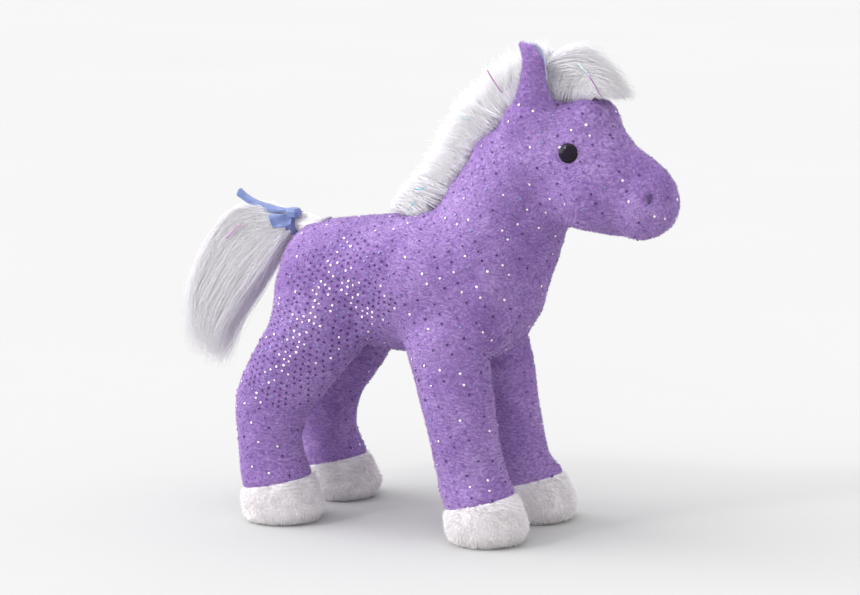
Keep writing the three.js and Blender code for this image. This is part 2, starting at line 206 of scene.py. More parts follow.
class Graph:
    """Adds nodes to a material, wired up in object space."""

    def __init__(self, material):
        self.tree = material.node_tree
        self.shader = self.tree.nodes["Principled BSDF"]
        self.place = self.add("ShaderNodeTexCoord").outputs["Object"]

    def add(self, kind, inputs=None, **settings):
        node = self.tree.nodes.new(kind)
        for key, value in settings.items():
            setattr(node, key, value)
        for key, value in (inputs or {}).items():
            if isinstance(value, bpy.types.NodeSocket):
                self.tree.links.new(value, node.inputs[key])
            else:
                node.inputs[key].default_value = value
        return node

    def noise(self, scale, detail=3.0, stretch=None):
        place = self.place
        if stretch:
            place = self.add("ShaderNodeMapping", {"Vector": place, "Scale": stretch}).outputs["Vector"]
        inputs = {"Vector": place, "Scale": scale, "Detail": detail, "Roughness": 0.55}
        return self.add("ShaderNodeTexNoise", inputs).outputs["Fac"]

    def ramp(self, factor, *stops):
        node = self.add("ShaderNodeValToRGB", {"Fac": factor})
        points = node.color_ramp.elements
        while len(points) < len(stops):
            points.new(0.5)
        for point, (position, colour) in zip(points, stops):
            point.position = position
            point.color = (*colour, 1.0)
        return node.outputs["Color"]

    def bump(self, height, strength, distance_mm):
        inputs = {"Height": height, "Strength": strength, "Distance": distance_mm * MM}
        return self.add("ShaderNodeBump", inputs).outputs["Normal"]

    def set(self, socket, value):
        self.tree.links.new(value, self.shader.inputs[socket])


def velboa_material():
    """Short-napped knit: fine hairs in small broken crests that run across the way it is brushed."""
    m = new_material("velboa", Roughness=0.85, Sheen_Weight=0.2, Sheen_Roughness=0.5,
                     Sheen_Tint=srgb(215, 195, 235))
    g = Graph(m)
    sway = g.add("ShaderNodeTexNoise", {"Vector": g.place, "Scale": 60.0, "Detail": 1.0})
    centred = g.add("ShaderNodeVectorMath", {0: sway.outputs["Color"], 1: (0.5, 0.5, 0.5)},
                    operation="SUBTRACT")
    pushes = {0: centred.outputs["Vector"], 1: (0.012, 0.012, 0.012), 2: g.place}
    pushed = g.add("ShaderNodeVectorMath", pushes, operation="MULTIPLY_ADD")
    drawn_out = g.add("ShaderNodeMapping", {"Vector": pushed.outputs["Vector"], "Scale": (0.5, 0.5, 1)})
    grain = {"Vector": drawn_out.outputs["Vector"], "Scale": 1150.0, "Detail": 1.5}
    crests = g.add("ShaderNodeTexNoise", grain).outputs["Fac"]
    broad = g.noise(38.0, 2.0)
    # The crests are lighter and the hollows between them darker in colour: a painted highlight on the
    # crests and painted shade between them, mixed with broad random tone.
    crest_light_share = g.add("ShaderNodeMath", {0: crests, 1: 0.6, 2: 0.0}, operation="MULTIPLY_ADD")
    tone = g.add("ShaderNodeMath", {0: broad, 1: 0.4, 2: crest_light_share.outputs[0]}, operation="MULTIPLY_ADD")
    tones = [(0.3, srgb(106, 72, 144)), (0.5, srgb(137, 104, 169)), (0.7, srgb(172, 145, 199))]
    g.set("Base Color", g.ramp(tone.outputs[0], *tones))
    g.set("Normal", g.bump(crests, 0.6, 0.25))
    return m


def white_plush_material():
    m = new_material("hoof_plush", Roughness=0.95, Sheen_Weight=0.3)
    g = Graph(m)
    g.set("Base Color", g.ramp(g.noise(260.0), (0.3, srgb(222, 217, 221)), (0.6, srgb(236, 233, 236))))
    g.set("Normal", g.bump(g.noise(900.0), 0.7, 0.5))
    return m


def pile_core_material():
    m = new_material("long_pile", Roughness=0.9, Sheen_Weight=0.3)
    g = Graph(m)
    streaks = g.noise(500.0, stretch=(0.3, 1, 1))
    g.set("Base Color", g.ramp(streaks, (0.3, srgb(244, 241, 248)), (0.6, srgb(252, 250, 253))))
    return m


def satin_material():
    """Ribbon: fine ribs across it and a soft directional shine."""
    m = new_material("satin_ribbon", Roughness=0.42, Sheen_Weight=0.15, Anisotropic=0.5,
                     Specular_IOR_Level=0.55)
    g = Graph(m)
    ribs = g.add("ShaderNodeTexWave", {"Vector": g.place, "Scale": 900.0, "Distortion": 0.6},
                 wave_type="BANDS", bands_direction="X").outputs["Fac"]
    g.set("Base Color", g.ramp(g.noise(320.0), (0.25, srgb(92, 110, 164)), (0.75, srgb(120, 136, 186))))
    g.set("Normal", g.bump(ribs, 0.25, 0.08))
    return m


def lining_material():
    m = new_material("ear_lining", Roughness=0.38, Sheen_Weight=0.4, Coat_Weight=0.2, Coat_Roughness=0.4)
    g = Graph(m)
    tones = [(0.3, srgb(196, 206, 236)), (0.55, srgb(220, 226, 246)), (0.8, srgb(238, 224, 246))]
    g.set("Base Color", g.ramp(g.noise(180.0), *tones))
    g.set("Normal", g.bump(g.noise(1300.0, 2.0), 0.3, 0.2))
    return m


def eye_material():
    m = new_material("eye_plastic", Roughness=0.1, Specular_IOR_Level=0.2)
    g = Graph(m)
    g.set("Base Color", g.ramp(g.noise(300.0, 2.0), (0.3, srgb(20, 13, 28)), (0.8, srgb(30, 20, 40))))
    return m


def tape_material():
    m = new_material("backing_tape", Roughness=0.9)
    g = Graph(m)
    weave = g.add("ShaderNodeTexVoronoi", {"Vector": g.place, "Scale": 1200.0}).outputs["Distance"]
    g.set("Base Color", g.ramp(weave, (0.1, srgb(190, 186, 194)), (0.6, srgb(232, 229, 234))))
    g.set("Normal", g.bump(weave, 0.4, 0.2))
    return m


def washer_material():
    m = new_material("washer_plastic", Roughness=0.45)
    g = Graph(m)
    g.set("Base Color", g.ramp(g.noise(200.0), (0.3, srgb(226, 226, 222)), (0.7, srgb(240, 240, 238))))
    g.set("Normal", g.bump(g.noise(900.0), 0.1, 0.1))
    return m


def thread_material():
    m = new_material("embroidery_thread", Roughness=0.55, Sheen_Weight=0.3)
    g = Graph(m)
    twist = g.add("ShaderNodeTexWave", {"Vector": g.place, "Scale": 700.0, "Distortion": 1.0},
                  wave_type="BANDS", bands_direction="DIAGONAL").outputs["Fac"]
    g.set("Base Color", g.ramp(twist, (0.2, srgb(66, 40, 104)), (0.8, srgb(108, 76, 148))))
    g.set("Normal", g.bump(twist, 0.5, 0.1))
    return m


def fibre_materials(name, colours, roughness=0.8, sheen=0.5):
    """One plain material for each tone of a pile: the tones are what mottle it."""
    return [
        new_material(f"{name}_{i}", Base_Color=srgb(*colour), Roughness=roughness, Sheen_Weight=sheen)
        for i, colour in enumerate(colours)
    ]


VELBOA = velboa_material()
HOOF = white_plush_material()
PILE_CORE = pile_core_material()
SATIN = satin_material()
LINING = lining_material()
TAPE = tape_material()
EYE_PLASTIC = eye_material()
THREAD = thread_material()
NAP_TONES = fibre_materials("nap", [(129, 94, 163), (144, 111, 176), (161, 131, 189), (188, 163, 210)])
HOOF_TONES = fibre_materials("hoof_fibre", [(226, 222, 224), (235, 231, 233), (243, 240, 241)])
HAIR_TONES = fibre_materials("hair", [(246, 243, 249), (250, 248, 252), (254, 253, 254)], 0.6, 0.6)
FOIL = [
    new_material("foil_bright", Base_Color=srgb(250, 247, 252), Metallic=0.7, Roughness=0.3),
    new_material("foil_blue", Base_Color=srgb(132, 136, 190), Metallic=0.6, Roughness=0.4),
    # The dark dots are the silver foil's dark reflections painted in as a dull dark material: a painted
    # dark reflection.
    new_material("foil_painted_dark", Base_Color=srgb(62, 38, 104), Metallic=0.2, Roughness=0.45),
    new_material("foil_faint", Base_Color=srgb(112, 86, 158), Metallic=0.2, Roughness=0.5),
]
TINSEL = [
    new_material("tinsel_pink", Base_Color=srgb(190, 120, 190), Metallic=0.8, Roughness=0.25),
    new_material("tinsel_ice", Base_Color=srgb(205, 235, 240), Metallic=0.8, Roughness=0.2),
    new_material("tinsel_cyan", Base_Color=srgb(70, 175, 215), Metallic=0.8, Roughness=0.25),
]

# ---------------------------------------------------------------- the skin's forms

# A station is [aX, aZ, bX, bZ, y, halfWidth]: the oval section passes through points a and b of the
# outline in the XZ plane. The numbers are the CAD's, a little fuller where the cloth is tight.
TORSO = [
    [-50, 140, -50, 85, 0, 30],
    [-28, 143.5, -28, 81.5, 0, 32.5],
    [-6, 146, -6, 80, 0, 33.5],
    [20, 145, 12, 79.3, 0, 34],
    [41.8, 134.7, 29.4, 79.3, 0, 29.5],
]
NECK = [
    [-6, 142, 58, 103, 0, 25],
    [7.1, 148.6, 64, 116.6, 0, 25],
    [15.6, 161.8, 69.6, 130.6, 0, 23.5],
    [26.5, 175.6, 74, 145.6, 0, 22],
]
HEAD = [
    [61.5, 201, 62.5, 146, 0, 21],
    [85, 202.2, 82, 143.2, 0, 22],
    [98, 192.4, 96, 141.2, 0, 20],
    [112, 176.6, 107.5, 140.6, 0, 17.2],
]
LEGS = {
    "front": [
        [41.5, 90.4, 5.5, 81.6, 20.5, 17.5],
        [45.0, 74.1, 10.6, 65.9, 22.6, 17],
        [48.4, 54.7, 16.3, 47.3, 23.4, 16.2],
        [52.2, 35, 22.0, 27, 24.3, 15.8],
        [58.8, 22.4, 26.9, 12.8, 25.6, 17],
        [64.3, 8.4, 29.8, 4, 26.6, 18.2],
    ],
    "hind": [
        [-25.1, 80, -60.5, 103, 20.5, 18],
        [-37.4, 63.2, -73.0, 84.5, 22.6, 17.5],
        [-48.2, 49.7, -83.0, 60, 24.2, 16.6],
        [-51.4, 36.2, -82.4, 35.8, 25.4, 15.8],
        [-46.8, 21.2, -78.8, 15.8, 27.4, 16.8],
        [-41.2, 7.6, -76.4, 4.0, 28.4, 18.2],
    ],
}


def loft(stations, start_cap, end_cap, around=44, spans=40, cap_rings=7):
    """A closed tube through some stations, as vertices, quads and the triangles of its round ends."""
    s = np.array(stations, float)
    a3 = np.c_[s[:, 0], s[:, 4], s[:, 1]]
    b3 = np.c_[s[:, 2], s[:, 4], s[:, 3]]
    t = np.r_[np.zeros(cap_rings), np.linspace(0, 1, spans + 1), np.ones(cap_rings)]
    bend = np.r_[np.linspace(-1, 0, cap_rings, endpoint=False), np.zeros(spans + 1),
                 np.linspace(0, 1, cap_rings + 1)[1:]] * math.pi / 2 * 0.985
    a, b = through(a3, t), through(b3, t)
    width = through(s[:, 5:6], t)[:, 0]
    half = (a - b) / 2
    along = unit(np.cross([0, 1, 0], half))
    cap = np.where(bend < 0, start_cap, end_cap)
    middle = (a + b) / 2 + along * (cap * np.sin(bend))[:, None]
    turn = np.linspace(0, 2 * math.pi, around, endpoint=False)
    shrink = np.cos(bend)[:, None, None]
    ring = np.cos(turn)[None, :, None] * half[:, None, :] * shrink
    ring = ring + np.sin(turn)[None, :, None] * width[:, None, None] * shrink * np.array([0, 1, 0])
    verts = (middle[:, None, :] + ring).reshape(-1, 3)
    n = len(verts)
    last = n - around
    j = np.arange(around)
    k = (j + 1) % around
    caps = np.r_[np.stack([np.full(around, n), j, k], -1),
                 np.stack([np.full(around, n + 1), last + k, last + j], -1)]
    return np.vstack([verts, middle[:1], middle[-1:]]), tube_faces(len(t), around), caps


VOXEL = 1.25 * MM
GRID_LOW = np.floor(np.array([-96, -58, -6]) * MM / VOXEL).astype(int)
GRID_SIZE = (np.ceil(np.array([142, 58, 216]) * MM / VOXEL).astype(int) - GRID_LOW).tolist()


def field(form):
    """The signed distance, in millimetres, from a closed form, on the grid that all forms share."""
    verts, quads, tris = form
    grid = openvdb.FloatGrid.createLevelSetFromPolygons(
        (verts * MM).astype(np.float32), triangles=tris.astype(np.uint32), quads=quads.astype(np.uint32),
        transform=openvdb.createLinearTransform(VOXEL), halfWidth=9.0)
    values = np.empty(GRID_SIZE, np.float32)
    grid.copyToArray(values, ijk=tuple(int(v) for v in GRID_LOW))
    return values / MM


def ball(centre, radii):
    """The rough signed distance from an ellipsoid, on the shared grid."""
    axes = [((np.arange(n) + low) * VOXEL / MM - c) / r
            for n, low, c, r in zip(GRID_SIZE, GRID_LOW, centre, radii)]
    x, y, z = np.meshgrid(*axes, indexing="ij", sparse=True)
    return ((np.sqrt(x * x + y * y + z * z) - 1) * min(radii)).astype(np.float32)


def joined(a, b, fillet):
    """Both forms, with a rounded valley where they meet."""
    near = np.maximum(fillet - np.abs(a - b), 0) / fillet
    return np.minimum(a, b) - near * near * fillet / 4


def pressed(a, b, fillet):
    """The first form with the second pressed into it."""
    return -joined(-a, b, fillet)


EYE = np.array([83.2, 21.4, 180.2])
NOSTRIL = np.array([120.5, 13.5, 161.5])


def fillet_beside(inner, outer):
    """A fillet that is small between the legs and large on the pony's flanks."""
    y = np.abs((np.arange(GRID_SIZE[1]) + GRID_LOW[1]) * VOXEL / MM)
    return (inner + (outer - inner) * smoothstep(15, 28, y))[None, :, None].astype(np.float32)


# Ovals that round out the skin: centre, half sizes and the fillet they join it with.
PAIRED_OVALS = [
    ((88, 9, 160), (17, 14.5, 15), 6),  # cheek
    ((114.5, 6.5, 155), (11, 10, 12), 5),  # muzzle
    ((86, 5, 193.2), (10.5, 11, 10.3), 5),  # forehead
    ((64, 9.5, 189.5), (15, 9.5, 12), 5),  # under the ear
]
CREST_OVALS = [
    ((38, 0, 177), (11, 10, 9), 6),  # behind the poll
    ((107.5, 0, 172), (9, 11, 8.5), 5),  # bridge of the nose
]
EAR_BASE = ((62, 9.5, 194.5), (13.5, 8, 8.5), 5)
HAUNCH = ((-44.5, 18, 101), (22.5, 16, 23), 8)


def with_oval(body, oval, side=1):
    (x, y, z), radii, fillet = oval
    return joined(body, ball((x, side * y, z), radii), fillet)


def skin_surface():
    """The whole skin before inflation, as vertices and quads in millimetres."""
    limb_fillet = fillet_beside(2.5, 10.0)
    body = field(loft(TORSO, 22, 21))
    body = joined(body, field(loft(NECK, 14, 12)), 9)
    body = joined(body, field(loft(HEAD, 28, 17.6)), 7)
    for side in SIDES.values():
        for end, stations in LEGS.items():
            placed = [[*s[:4], side * s[4], s[5]] for s in stations]
            radius = math.hypot(stations[0][0] - stations[0][2], stations[0][1] - stations[0][3]) / 2
            leg = field(loft(placed, radius, 12))
            if end == "hind":
                leg = with_oval(leg, HAUNCH, side)
            body = joined(body, leg, limb_fillet)
        for oval in PAIRED_OVALS:
            body = with_oval(body, oval, side)
        body = pressed(body, ball(EYE * (1, side, 1) + (0, side * 3.2, 0), (5.6, 4.6, 5.6)), 2.5)
        body = pressed(body, ball(NOSTRIL * (1, side, 1) + (0.8, side * 1.2, 0.4), (2.4, 2.4, 3.2)), 2.0)
    for oval in CREST_OVALS:
        body = with_oval(body, oval)
    for side in SIDES.values():
        body = with_oval(body, EAR_BASE, side)
    axis = (np.arange(GRID_SIZE[2]) + GRID_LOW[2]) * VOXEL / MM
    body = np.maximum(body, 1.0 - axis[None, None, :].astype(np.float32))
    grid = openvdb.FloatGrid(float(9 * VOXEL))
    grid.transform = openvdb.createLinearTransform(VOXEL)
    grid.copyFromArray((body * MM).astype(np.float32), ijk=tuple(int(v) for v in GRID_LOW))
    points, quads = grid.convertToQuads(0.0)
    return np.array(points, float) / MM, np.array(quads, np.int64)


def relaxed(verts, quads, rounds):
    """Evens out the grid's stair steps without shrinking the form."""
    sides = np.vstack([quads[:, [k, (k + 1) % 4]] for k in range(4)])
    edges = np.unique(np.sort(sides, 1), axis=0)
    degree = np.bincount(edges.ravel(), minlength=len(verts))[:, None]
    for k in range(2 * rounds):
        total = np.zeros_like(verts)
        for axis in range(3):
            total[:, axis] = (np.bincount(edges[:, 0], verts[edges[:, 1], axis], len(verts))
                              + np.bincount(edges[:, 1], verts[edges[:, 0], axis], len(verts)))
        step = 0.5 if k % 2 == 0 else -0.52
        verts = verts + step * (total / degree - verts)
    return verts


def inflation(verts, quads):
    """How far a cloth simulation with inner pressure moves each point of the skin, in millimetres."""
    cloth = make_mesh("cloth_skin", verts, quads, [])
    bpy.context.view_layer.objects.active = cloth
    remesh = cloth.modifiers.new("remesh", "REMESH")
    remesh.mode = "VOXEL"
    remesh.voxel_size = 4 * MM
    graph = bpy.context.evaluated_depsgraph_get()
    coarse = bpy.data.meshes.new_from_object(cloth.evaluated_get(graph))
    cloth.modifiers.clear()
    cloth.data = coarse
    rest = np.array([v.co for v in coarse.vertices], float)
    simulation = cloth.modifiers.new("cloth", "CLOTH")
    simulation.settings.quality = 5
    simulation.settings.mass = 0.2
    simulation.settings.use_pressure = True
    simulation.settings.uniform_pressure_force = 4.0
    simulation.settings.tension_stiffness = 20
    simulation.settings.compression_stiffness = 20
    simulation.settings.bending_stiffness = 2.0
    simulation.settings.effector_weights.gravity = 0
    simulation.point_cache.frame_start = 1
    simulation.point_cache.frame_end = 20
    for number in range(1, 21):
        bpy.context.scene.frame_set(number)
    moved = cloth.evaluated_get(bpy.context.evaluated_depsgraph_get()).to_mesh()
    push = (np.array([v.co for v in moved.vertices], float) - rest) / MM
    bpy.context.scene.frame_set(1)
    bpy.data.objects.remove(cloth)
    length = np.linalg.norm(push, axis=1, keepdims=True)
    push *= np.minimum(1, 2.0 / np.maximum(length, 1e-6))
    tree = KDTree(len(rest))
    for i, p in enumerate(rest):
        tree.insert(p, i)
    tree.balance()
    result = np.zeros_like(verts)
    for i, p in enumerate(verts * MM):
        found = tree.find_n(p, 5)
        weight = np.array([1 / (f[2] / MM + 0.3) ** 2 for f in found])
        result[i] = weight @ push[[f[1] for f in found]] / weight.sum()
    return result


HOOF_SEAM = {"front": ((42.0, 18.0), 15.0), "hind": ((-62.0, 18.0), 12.0)}


def above_hoof_seam(points, end):
    (x, z), slope = HOOF_SEAM[end]
    tilt = math.radians(slope)
    return (points[:, 2] - z) * math.cos(tilt) - (points[:, 0] - x) * math.sin(tilt)


# Sewn-in creases: the two ends of each on one side of the pony, how deep and how wide it is.
GROOVES = [
    ((3, 27, 149), (-3, 32, 128), 1.0, 2.2),
    ((-3, 32, 128), (4, 33, 104), 0.7, 2.6),
    ((54, 18, 140), (66, 20, 158), 0.8, 2.6),
    ((-20, 31, 92), (-14, 28, 84), 0.9, 2.2),
    ((-18, 33, 112), (-20, 31, 92), 0.6, 3.0),
]


def groove(points, a, b, side, depth, width):
    """How far each point sinks towards a crease that runs from a to b."""
    a, b = (np.array([p[0], side * p[1], p[2]], float) for p in (a, b))
    return depth * np.exp(-(from_segment(points, a, b) / width) ** 2)


def with_hoof_seams(verts, normal):
    """Draws the cloth in at each hoof's seam, puffs out the hoof below and trues up the seam's line."""
    verts = verts.copy()
    for end in LEGS:
        _, slope = HOOF_SEAM[end]
        mine = ((verts[:, 0] > -10) == (end == "front")) & (verts[:, 2] < 60)
        depth = above_hoof_seam(verts, end)
        out = 0.55 * smoothstep(-0.5, -5, depth) - 0.8 * np.exp(-(depth / 1.3) ** 2)
        verts[mine] += (normal * (out * smoothstep(2, 8, verts[:, 2]))[:, None])[mine]
        tilt = math.radians(slope)
        square = np.array([-math.sin(tilt), 0, math.cos(tilt)])
        depth = above_hoof_seam(verts, end)
        near = mine & (np.abs(depth) < 0.7)
        verts[near] -= depth[near, None] * square
    verts[:, 2] = np.maximum(verts[:, 2], 0.6)
    return verts


def dressed_skin():
    verts, quads = skin_surface()
    verts = relaxed(verts, quads, 3)
    normal = vertex_normals(verts, quads)
    push = inflation(verts, quads)
    still = smoothstep(20, 30, verts[:, 2])[:, None]
    swell = np.sum(push * normal, axis=1, keepdims=True) - 0.6
    verts = verts + still * np.clip(swell, -1.6, 1.6) * normal
    ripple = 0.35 * noise(verts, 26, 3) + 0.16 * noise(verts, 9, 4)
    verts = verts + normal * (ripple * smoothstep(3, 12, verts[:, 2]))[:, None]
    for side in SIDES.values():
        for a, b, depth, width in GROOVES:
            verts = verts - normal * groove(verts, a, b, side, depth, width)[:, None]
    return with_hoof_seams(verts, normal), quads


# ---------------------------------------------------------------- cutting the skin into pieces

HINGE = {j["child"]: np.array(j["pos_m"]) / MM for j in frame["joints"] if "pos_m" in j}


def along(points, body, way):
    return (np.asarray(points) - HINGE[body]) @ unit(way)


# Where cloth bends between two bodies: the way it runs from the hinge, and how far along it starts
# and ends.
BENDS = {
    "neck": ("torso", (0.496, 0, 0.868), -6, 20),
    "head": ("neck", (0.75, 0, 0.66), -14, 8),
    "leg_front": ("torso", (0.243, 0, -0.97), 8, 34),
    "leg_hind": ("torso", (-0.52, 0, -0.855), 14, 38),
    "tail_root": ("torso", (-1, 0, 0), -2, 5),
    "tail_switch": ("tail_root", (-0.75, 0, -0.66), -4, 12),
}


def bent(thing):
    """Bakes thing's placement into its mesh; it is not bent with the cloth or set on a body."""
    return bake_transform(thing)


def region_of(points):
    """The piece that each point of the skin belongs to."""
    names = np.full(len(points), "torso", dtype=object)
    neck = along(points, "neck", BENDS["neck"][1]) >= BENDS["neck"][2]
    head = along(points, "head", BENDS["head"][1]) >= BENDS["head"][2]
    upper = points[:, 2] > 104
    names[neck & (upper | (points[:, 0] > 60))] = "neck"
    names[head & (points[:, 2] > 132)] = "head"
    for end in LEGS:
        for side_name, side in SIDES.items():
            body = f"leg_{end}_{side_name}"
            _, way, start, _ = BENDS[f"leg_{end}"]
            mine = (side * points[:, 1] > 0) & (points[:, 2] < 100)
            mine &= (points[:, 0] > -10) == (end == "front")
            mine &= along(points, body, way) >= start
            names[mine] = body
            names[mine & (above_hoof_seam(points, end) < 0)] = f"hoof_{end}_{side_name}"
    return names


def body_of_region(region):
    return region.replace("hoof_", "leg_")


def place(thing, region):
    """thing rides on the torso, or on its leg for a hoof; elsewhere its placement is only baked into its
    mesh.
    """
    if region == "torso":
        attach(thing, "torso")
    elif region.startswith("hoof_"):
        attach(thing, body_of_region(region))
    else:
        bent(thing)
    return thing


def replaced_nodes(region):
    if region == "torso":
        return ["torso_panel_left", "torso_panel_right", "belly_gusset", "torso_stuffing"]
    if region == "neck":
        return ["neck_panel_left", "neck_panel_right", "neck_stuffing"]
    if region == "head":
        return ["head_panel_left", "head_panel_right", "head_gusset", "head_stuffing"]
    kind, _, name = region.partition("_")
    if kind == "hoof":
        return [f"hoof_cover_{name}", f"hoof_sole_{name}"]
    return [f"leg_outer_panel_{name}", f"leg_inner_panel_{name}", f"leg_stuffing_{name}"]


def add_skin(verts, quads):
    """Makes the skin's pieces and returns {region: (vertices, quads)}."""
    label = region_of(verts[quads].mean(axis=1))
    pieces = {}
    for region in sorted(set(label)):
        faces = quads[label == region]
        used, local = np.unique(faces, return_inverse=True)
        local = local.reshape(faces.shape)
        pieces[region] = (verts[used], local)
        white = region.startswith("hoof_")
        name = region if white else f"skin_{region}"
        thing = make_mesh(name, verts[used], local, [HOOF if white else VELBOA])
        place(thing, region)
        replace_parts(thing, *replaced_nodes(region))
    return pieces


# ---------------------------------------------------------------- short nap


def scattered(verts, quads, density, seed):
    """Random points on a surface, density to the square millimetre, and its direction at each."""
    r = rng(seed)
    a, b, c, d = (verts[quads[:, i]] for i in range(4))
    area = np.linalg.norm(np.cross(c - a, d - b), axis=1) / 2
    count = int(area.sum() * density)
    face = r.choice(len(quads), count, p=area / area.sum())
    u, v = r.random(count)[:, None], r.random(count)[:, None]
    points = (a[face] * (1 - u) + b[face] * u) * (1 - v) + (d[face] * (1 - u) + c[face] * u) * v
    corner = vertex_normals(verts, quads)[quads[face]]
    normal = unit(corner.mean(axis=1))
    return points, normal


def lie_direction(points):
    """The way the nap is brushed: back along the trunk and head, and down the legs."""
    x, z = points[:, 0], points[:, 2]
    back = np.c_[-np.ones(len(points)), np.zeros(len(points)), -0.25 * np.ones(len(points))]
    down = np.tile([-0.15, 0, -1.0], (len(points), 1))
    neck = np.tile([-0.45, 0, -0.9], (len(points), 1))
    w_leg = smoothstep(100, 70, z)[:, None]
    w_neck = (smoothstep(10, 40, x) * smoothstep(120, 140, z) * smoothstep(95, 60, x))[:, None]
    way = back * (1 - w_leg) + down * w_leg
    return way * (1 - w_neck) + neck * w_neck


def spikes(points, normals, way, length, width, lift):
    """Thin closed spikes: four corners and four faces each."""
    n = len(points)
    side = unit(np.cross(normals, way))
    flat = unit(way - normals * np.sum(way * normals, axis=1, keepdims=True))
    rise = unit(flat * (1 - lift)[:, None] + normals * lift[:, None])
    base = points - normals * 0.25
    w = width[:, None]
    corners = np.stack([
        base + side * w / 2, base - side * w / 2, base + normals * w * 0.8 + flat * w * 0.2,
        points + rise * length[:, None]], axis=1)
    index = np.arange(n)[:, None] * 4
    faces = np.stack([index + [0, 1, 3], index + [1, 2, 3], index + [2, 0, 3], index + [0, 2, 1]], axis=1)
    return corners.reshape(-1, 3), faces.reshape(-1, 3)


NAP_WAVE = 1.55  # millimetres from one crest of the brushed pile to the next


def add_nap(region, part, verts, quads, density, length, width, tones, slot, seed):
    points, normals = scattered(verts, quads, density, seed)
    r = rng(seed + 1)
    n = len(points)
    way = lie_direction(points) + 0.2 * r.normal(size=(n, 3))
    swirl = np.c_[noise(points, 14, 11), noise(points, 14, 12), noise(points, 14, 13)]
    way = unit(way + 0.45 * swirl)
    sizes = length * r.uniform(0.6, 1.25, n)
    wave = np.sum(points * lie_direction(points), axis=1) / NAP_WAVE + 0.55 * noise(points, 15, 17)
    wave = wave + 0.1 * noise(points, 5, 18)
    lift = 0.4 + 0.22 * np.sin(2 * math.pi * wave) + 0.08 * noise(points, 7, 14) + 0.05 * r.normal(size=n)
    lift = np.clip(lift, 0.1, 0.98)
    painted_crest_light = np.cos(2 * math.pi * wave)
    corners, faces = spikes(points, normals, way, sizes, width * r.uniform(0.7, 1.3, n), lift)
    corners[:, 2] = np.maximum(corners[:, 2], 0.02)
    # Fibres on the nap's crests take the lighter tones and those between crests the darker: a painted
    # highlight on the crests and painted shade between them, with random tone on top.
    shade = painted_crest_light + 0.12 * noise(points, 5, 15) + 0.22 * noise(points, 24, 16) + 0.15 * r.normal(size=n)
    tone = np.clip(((shade + 1.3) / 2.6 * len(tones)).astype(int), 0, len(tones) - 1)
    thing = make_mesh(f"nap_{part}", corners, faces, tones, np.repeat(tone, 4), smooth=False)
    place(thing, region)
    return thing


# Fibres to the square millimetre, and their length and width in millimetres.
BODY_NAP = (3.2, 0.95, 0.26)
HOOF_NAP = (5.5, 2.3, 0.3)


def add_all_nap(pieces):
    for k, (region, (verts, quads)) in enumerate(sorted(pieces.items())):
        if region.startswith("hoof_"):
            add_nap(region, region, verts, quads, *HOOF_NAP, HOOF_TONES, "hoof_plush", 200 + k)
            continue
        halves = [("", np.ones(len(quads), bool))]
        if region in ("torso", "head"):
            left = verts[quads].mean(axis=1)[:, 1] > 0
            halves = [("_left", left), ("_right", ~left)]
        for suffix, chosen in halves:
            add_nap(region, region + suffix, verts, quads[chosen], *BODY_NAP, NAP_TONES, "velboa",
                    100 + 2 * k)


# ---------------------------------------------------------------- foil dots

DOT_RADIUS = 0.6
DOT_PITCH = (3.4, 2.45)
DENSE_PATCH = [(-23, 113), (-30, 103), (-44, 87), (-55, 79)]
# The line along which foil dots are bright: a painted highlight across the rump and thigh.
FOIL_HIGHLIGHT_BAND = [(-14, 103), (-27, 121), (-41, 93), (-58, 72)]


def distance_to_line(x, z, line):
    p = np.c_[x, z]
    best = np.full(len(p), 1e9)
    for a, b in zip(line, line[1:]):
        a, b = np.array(a, float), np.array(b, float)
        best = np.minimum(best, from_segment(p, a, b))
    return best


def dot_places(tree):
    """A staggered print: close on the rump and thigh, and every second dot of every second row beyond."""
    r = rng(71)
    places, normals = [], []
    turn = math.radians(24)
    for side in SIDES.values():
        for i in range(-60, 61):
            for j in range(-75, 76):
                u = DOT_PITCH[0] * (i + 0.5 * (j % 2))
                w = DOT_PITCH[1] * j
                x = u * math.cos(turn) - w * math.sin(turn) + r.normal() * 0.2
                z = 110 + u * math.sin(turn) + w * math.cos(turn) + r.normal() * 0.2
                chance = r.random()
                away = distance_to_line(np.array([x]), np.array([z]), DENSE_PATCH)[0]
                close = smoothstep(30, 18, away)
                sparse = j % 2 == 0 and i % 2 == 0
                if not (sparse and chance < 0.92) and chance > close * 0.96:
                    continue
                found = tree.ray_cast(Vector((x, side * 80, z)), Vector((0, -side, 0)))
                if found[0] is None or abs(found[1][1]) < 0.3:
                    continue
                places.append(found[0])
                normals.append(found[1])
    return np.array(places), unit(np.array(normals))


def on_top_places(verts, quads):
    """Dots on the back, chest and belly, where the cloth faces neither side."""
    points, normals = scattered(verts, quads, 0.6, 73)
    apart = 5.6
    keep, keep_normals = [], []
    chosen = np.abs(normals[:, 1]) < 0.38
    for p, n in zip(points[chosen], normals[chosen]):
        if all(np.sum((p - q) ** 2) > apart * apart for q in keep):
            keep.append(p)
            keep_normals.append(n)
    return np.array(keep), np.array(keep_normals)


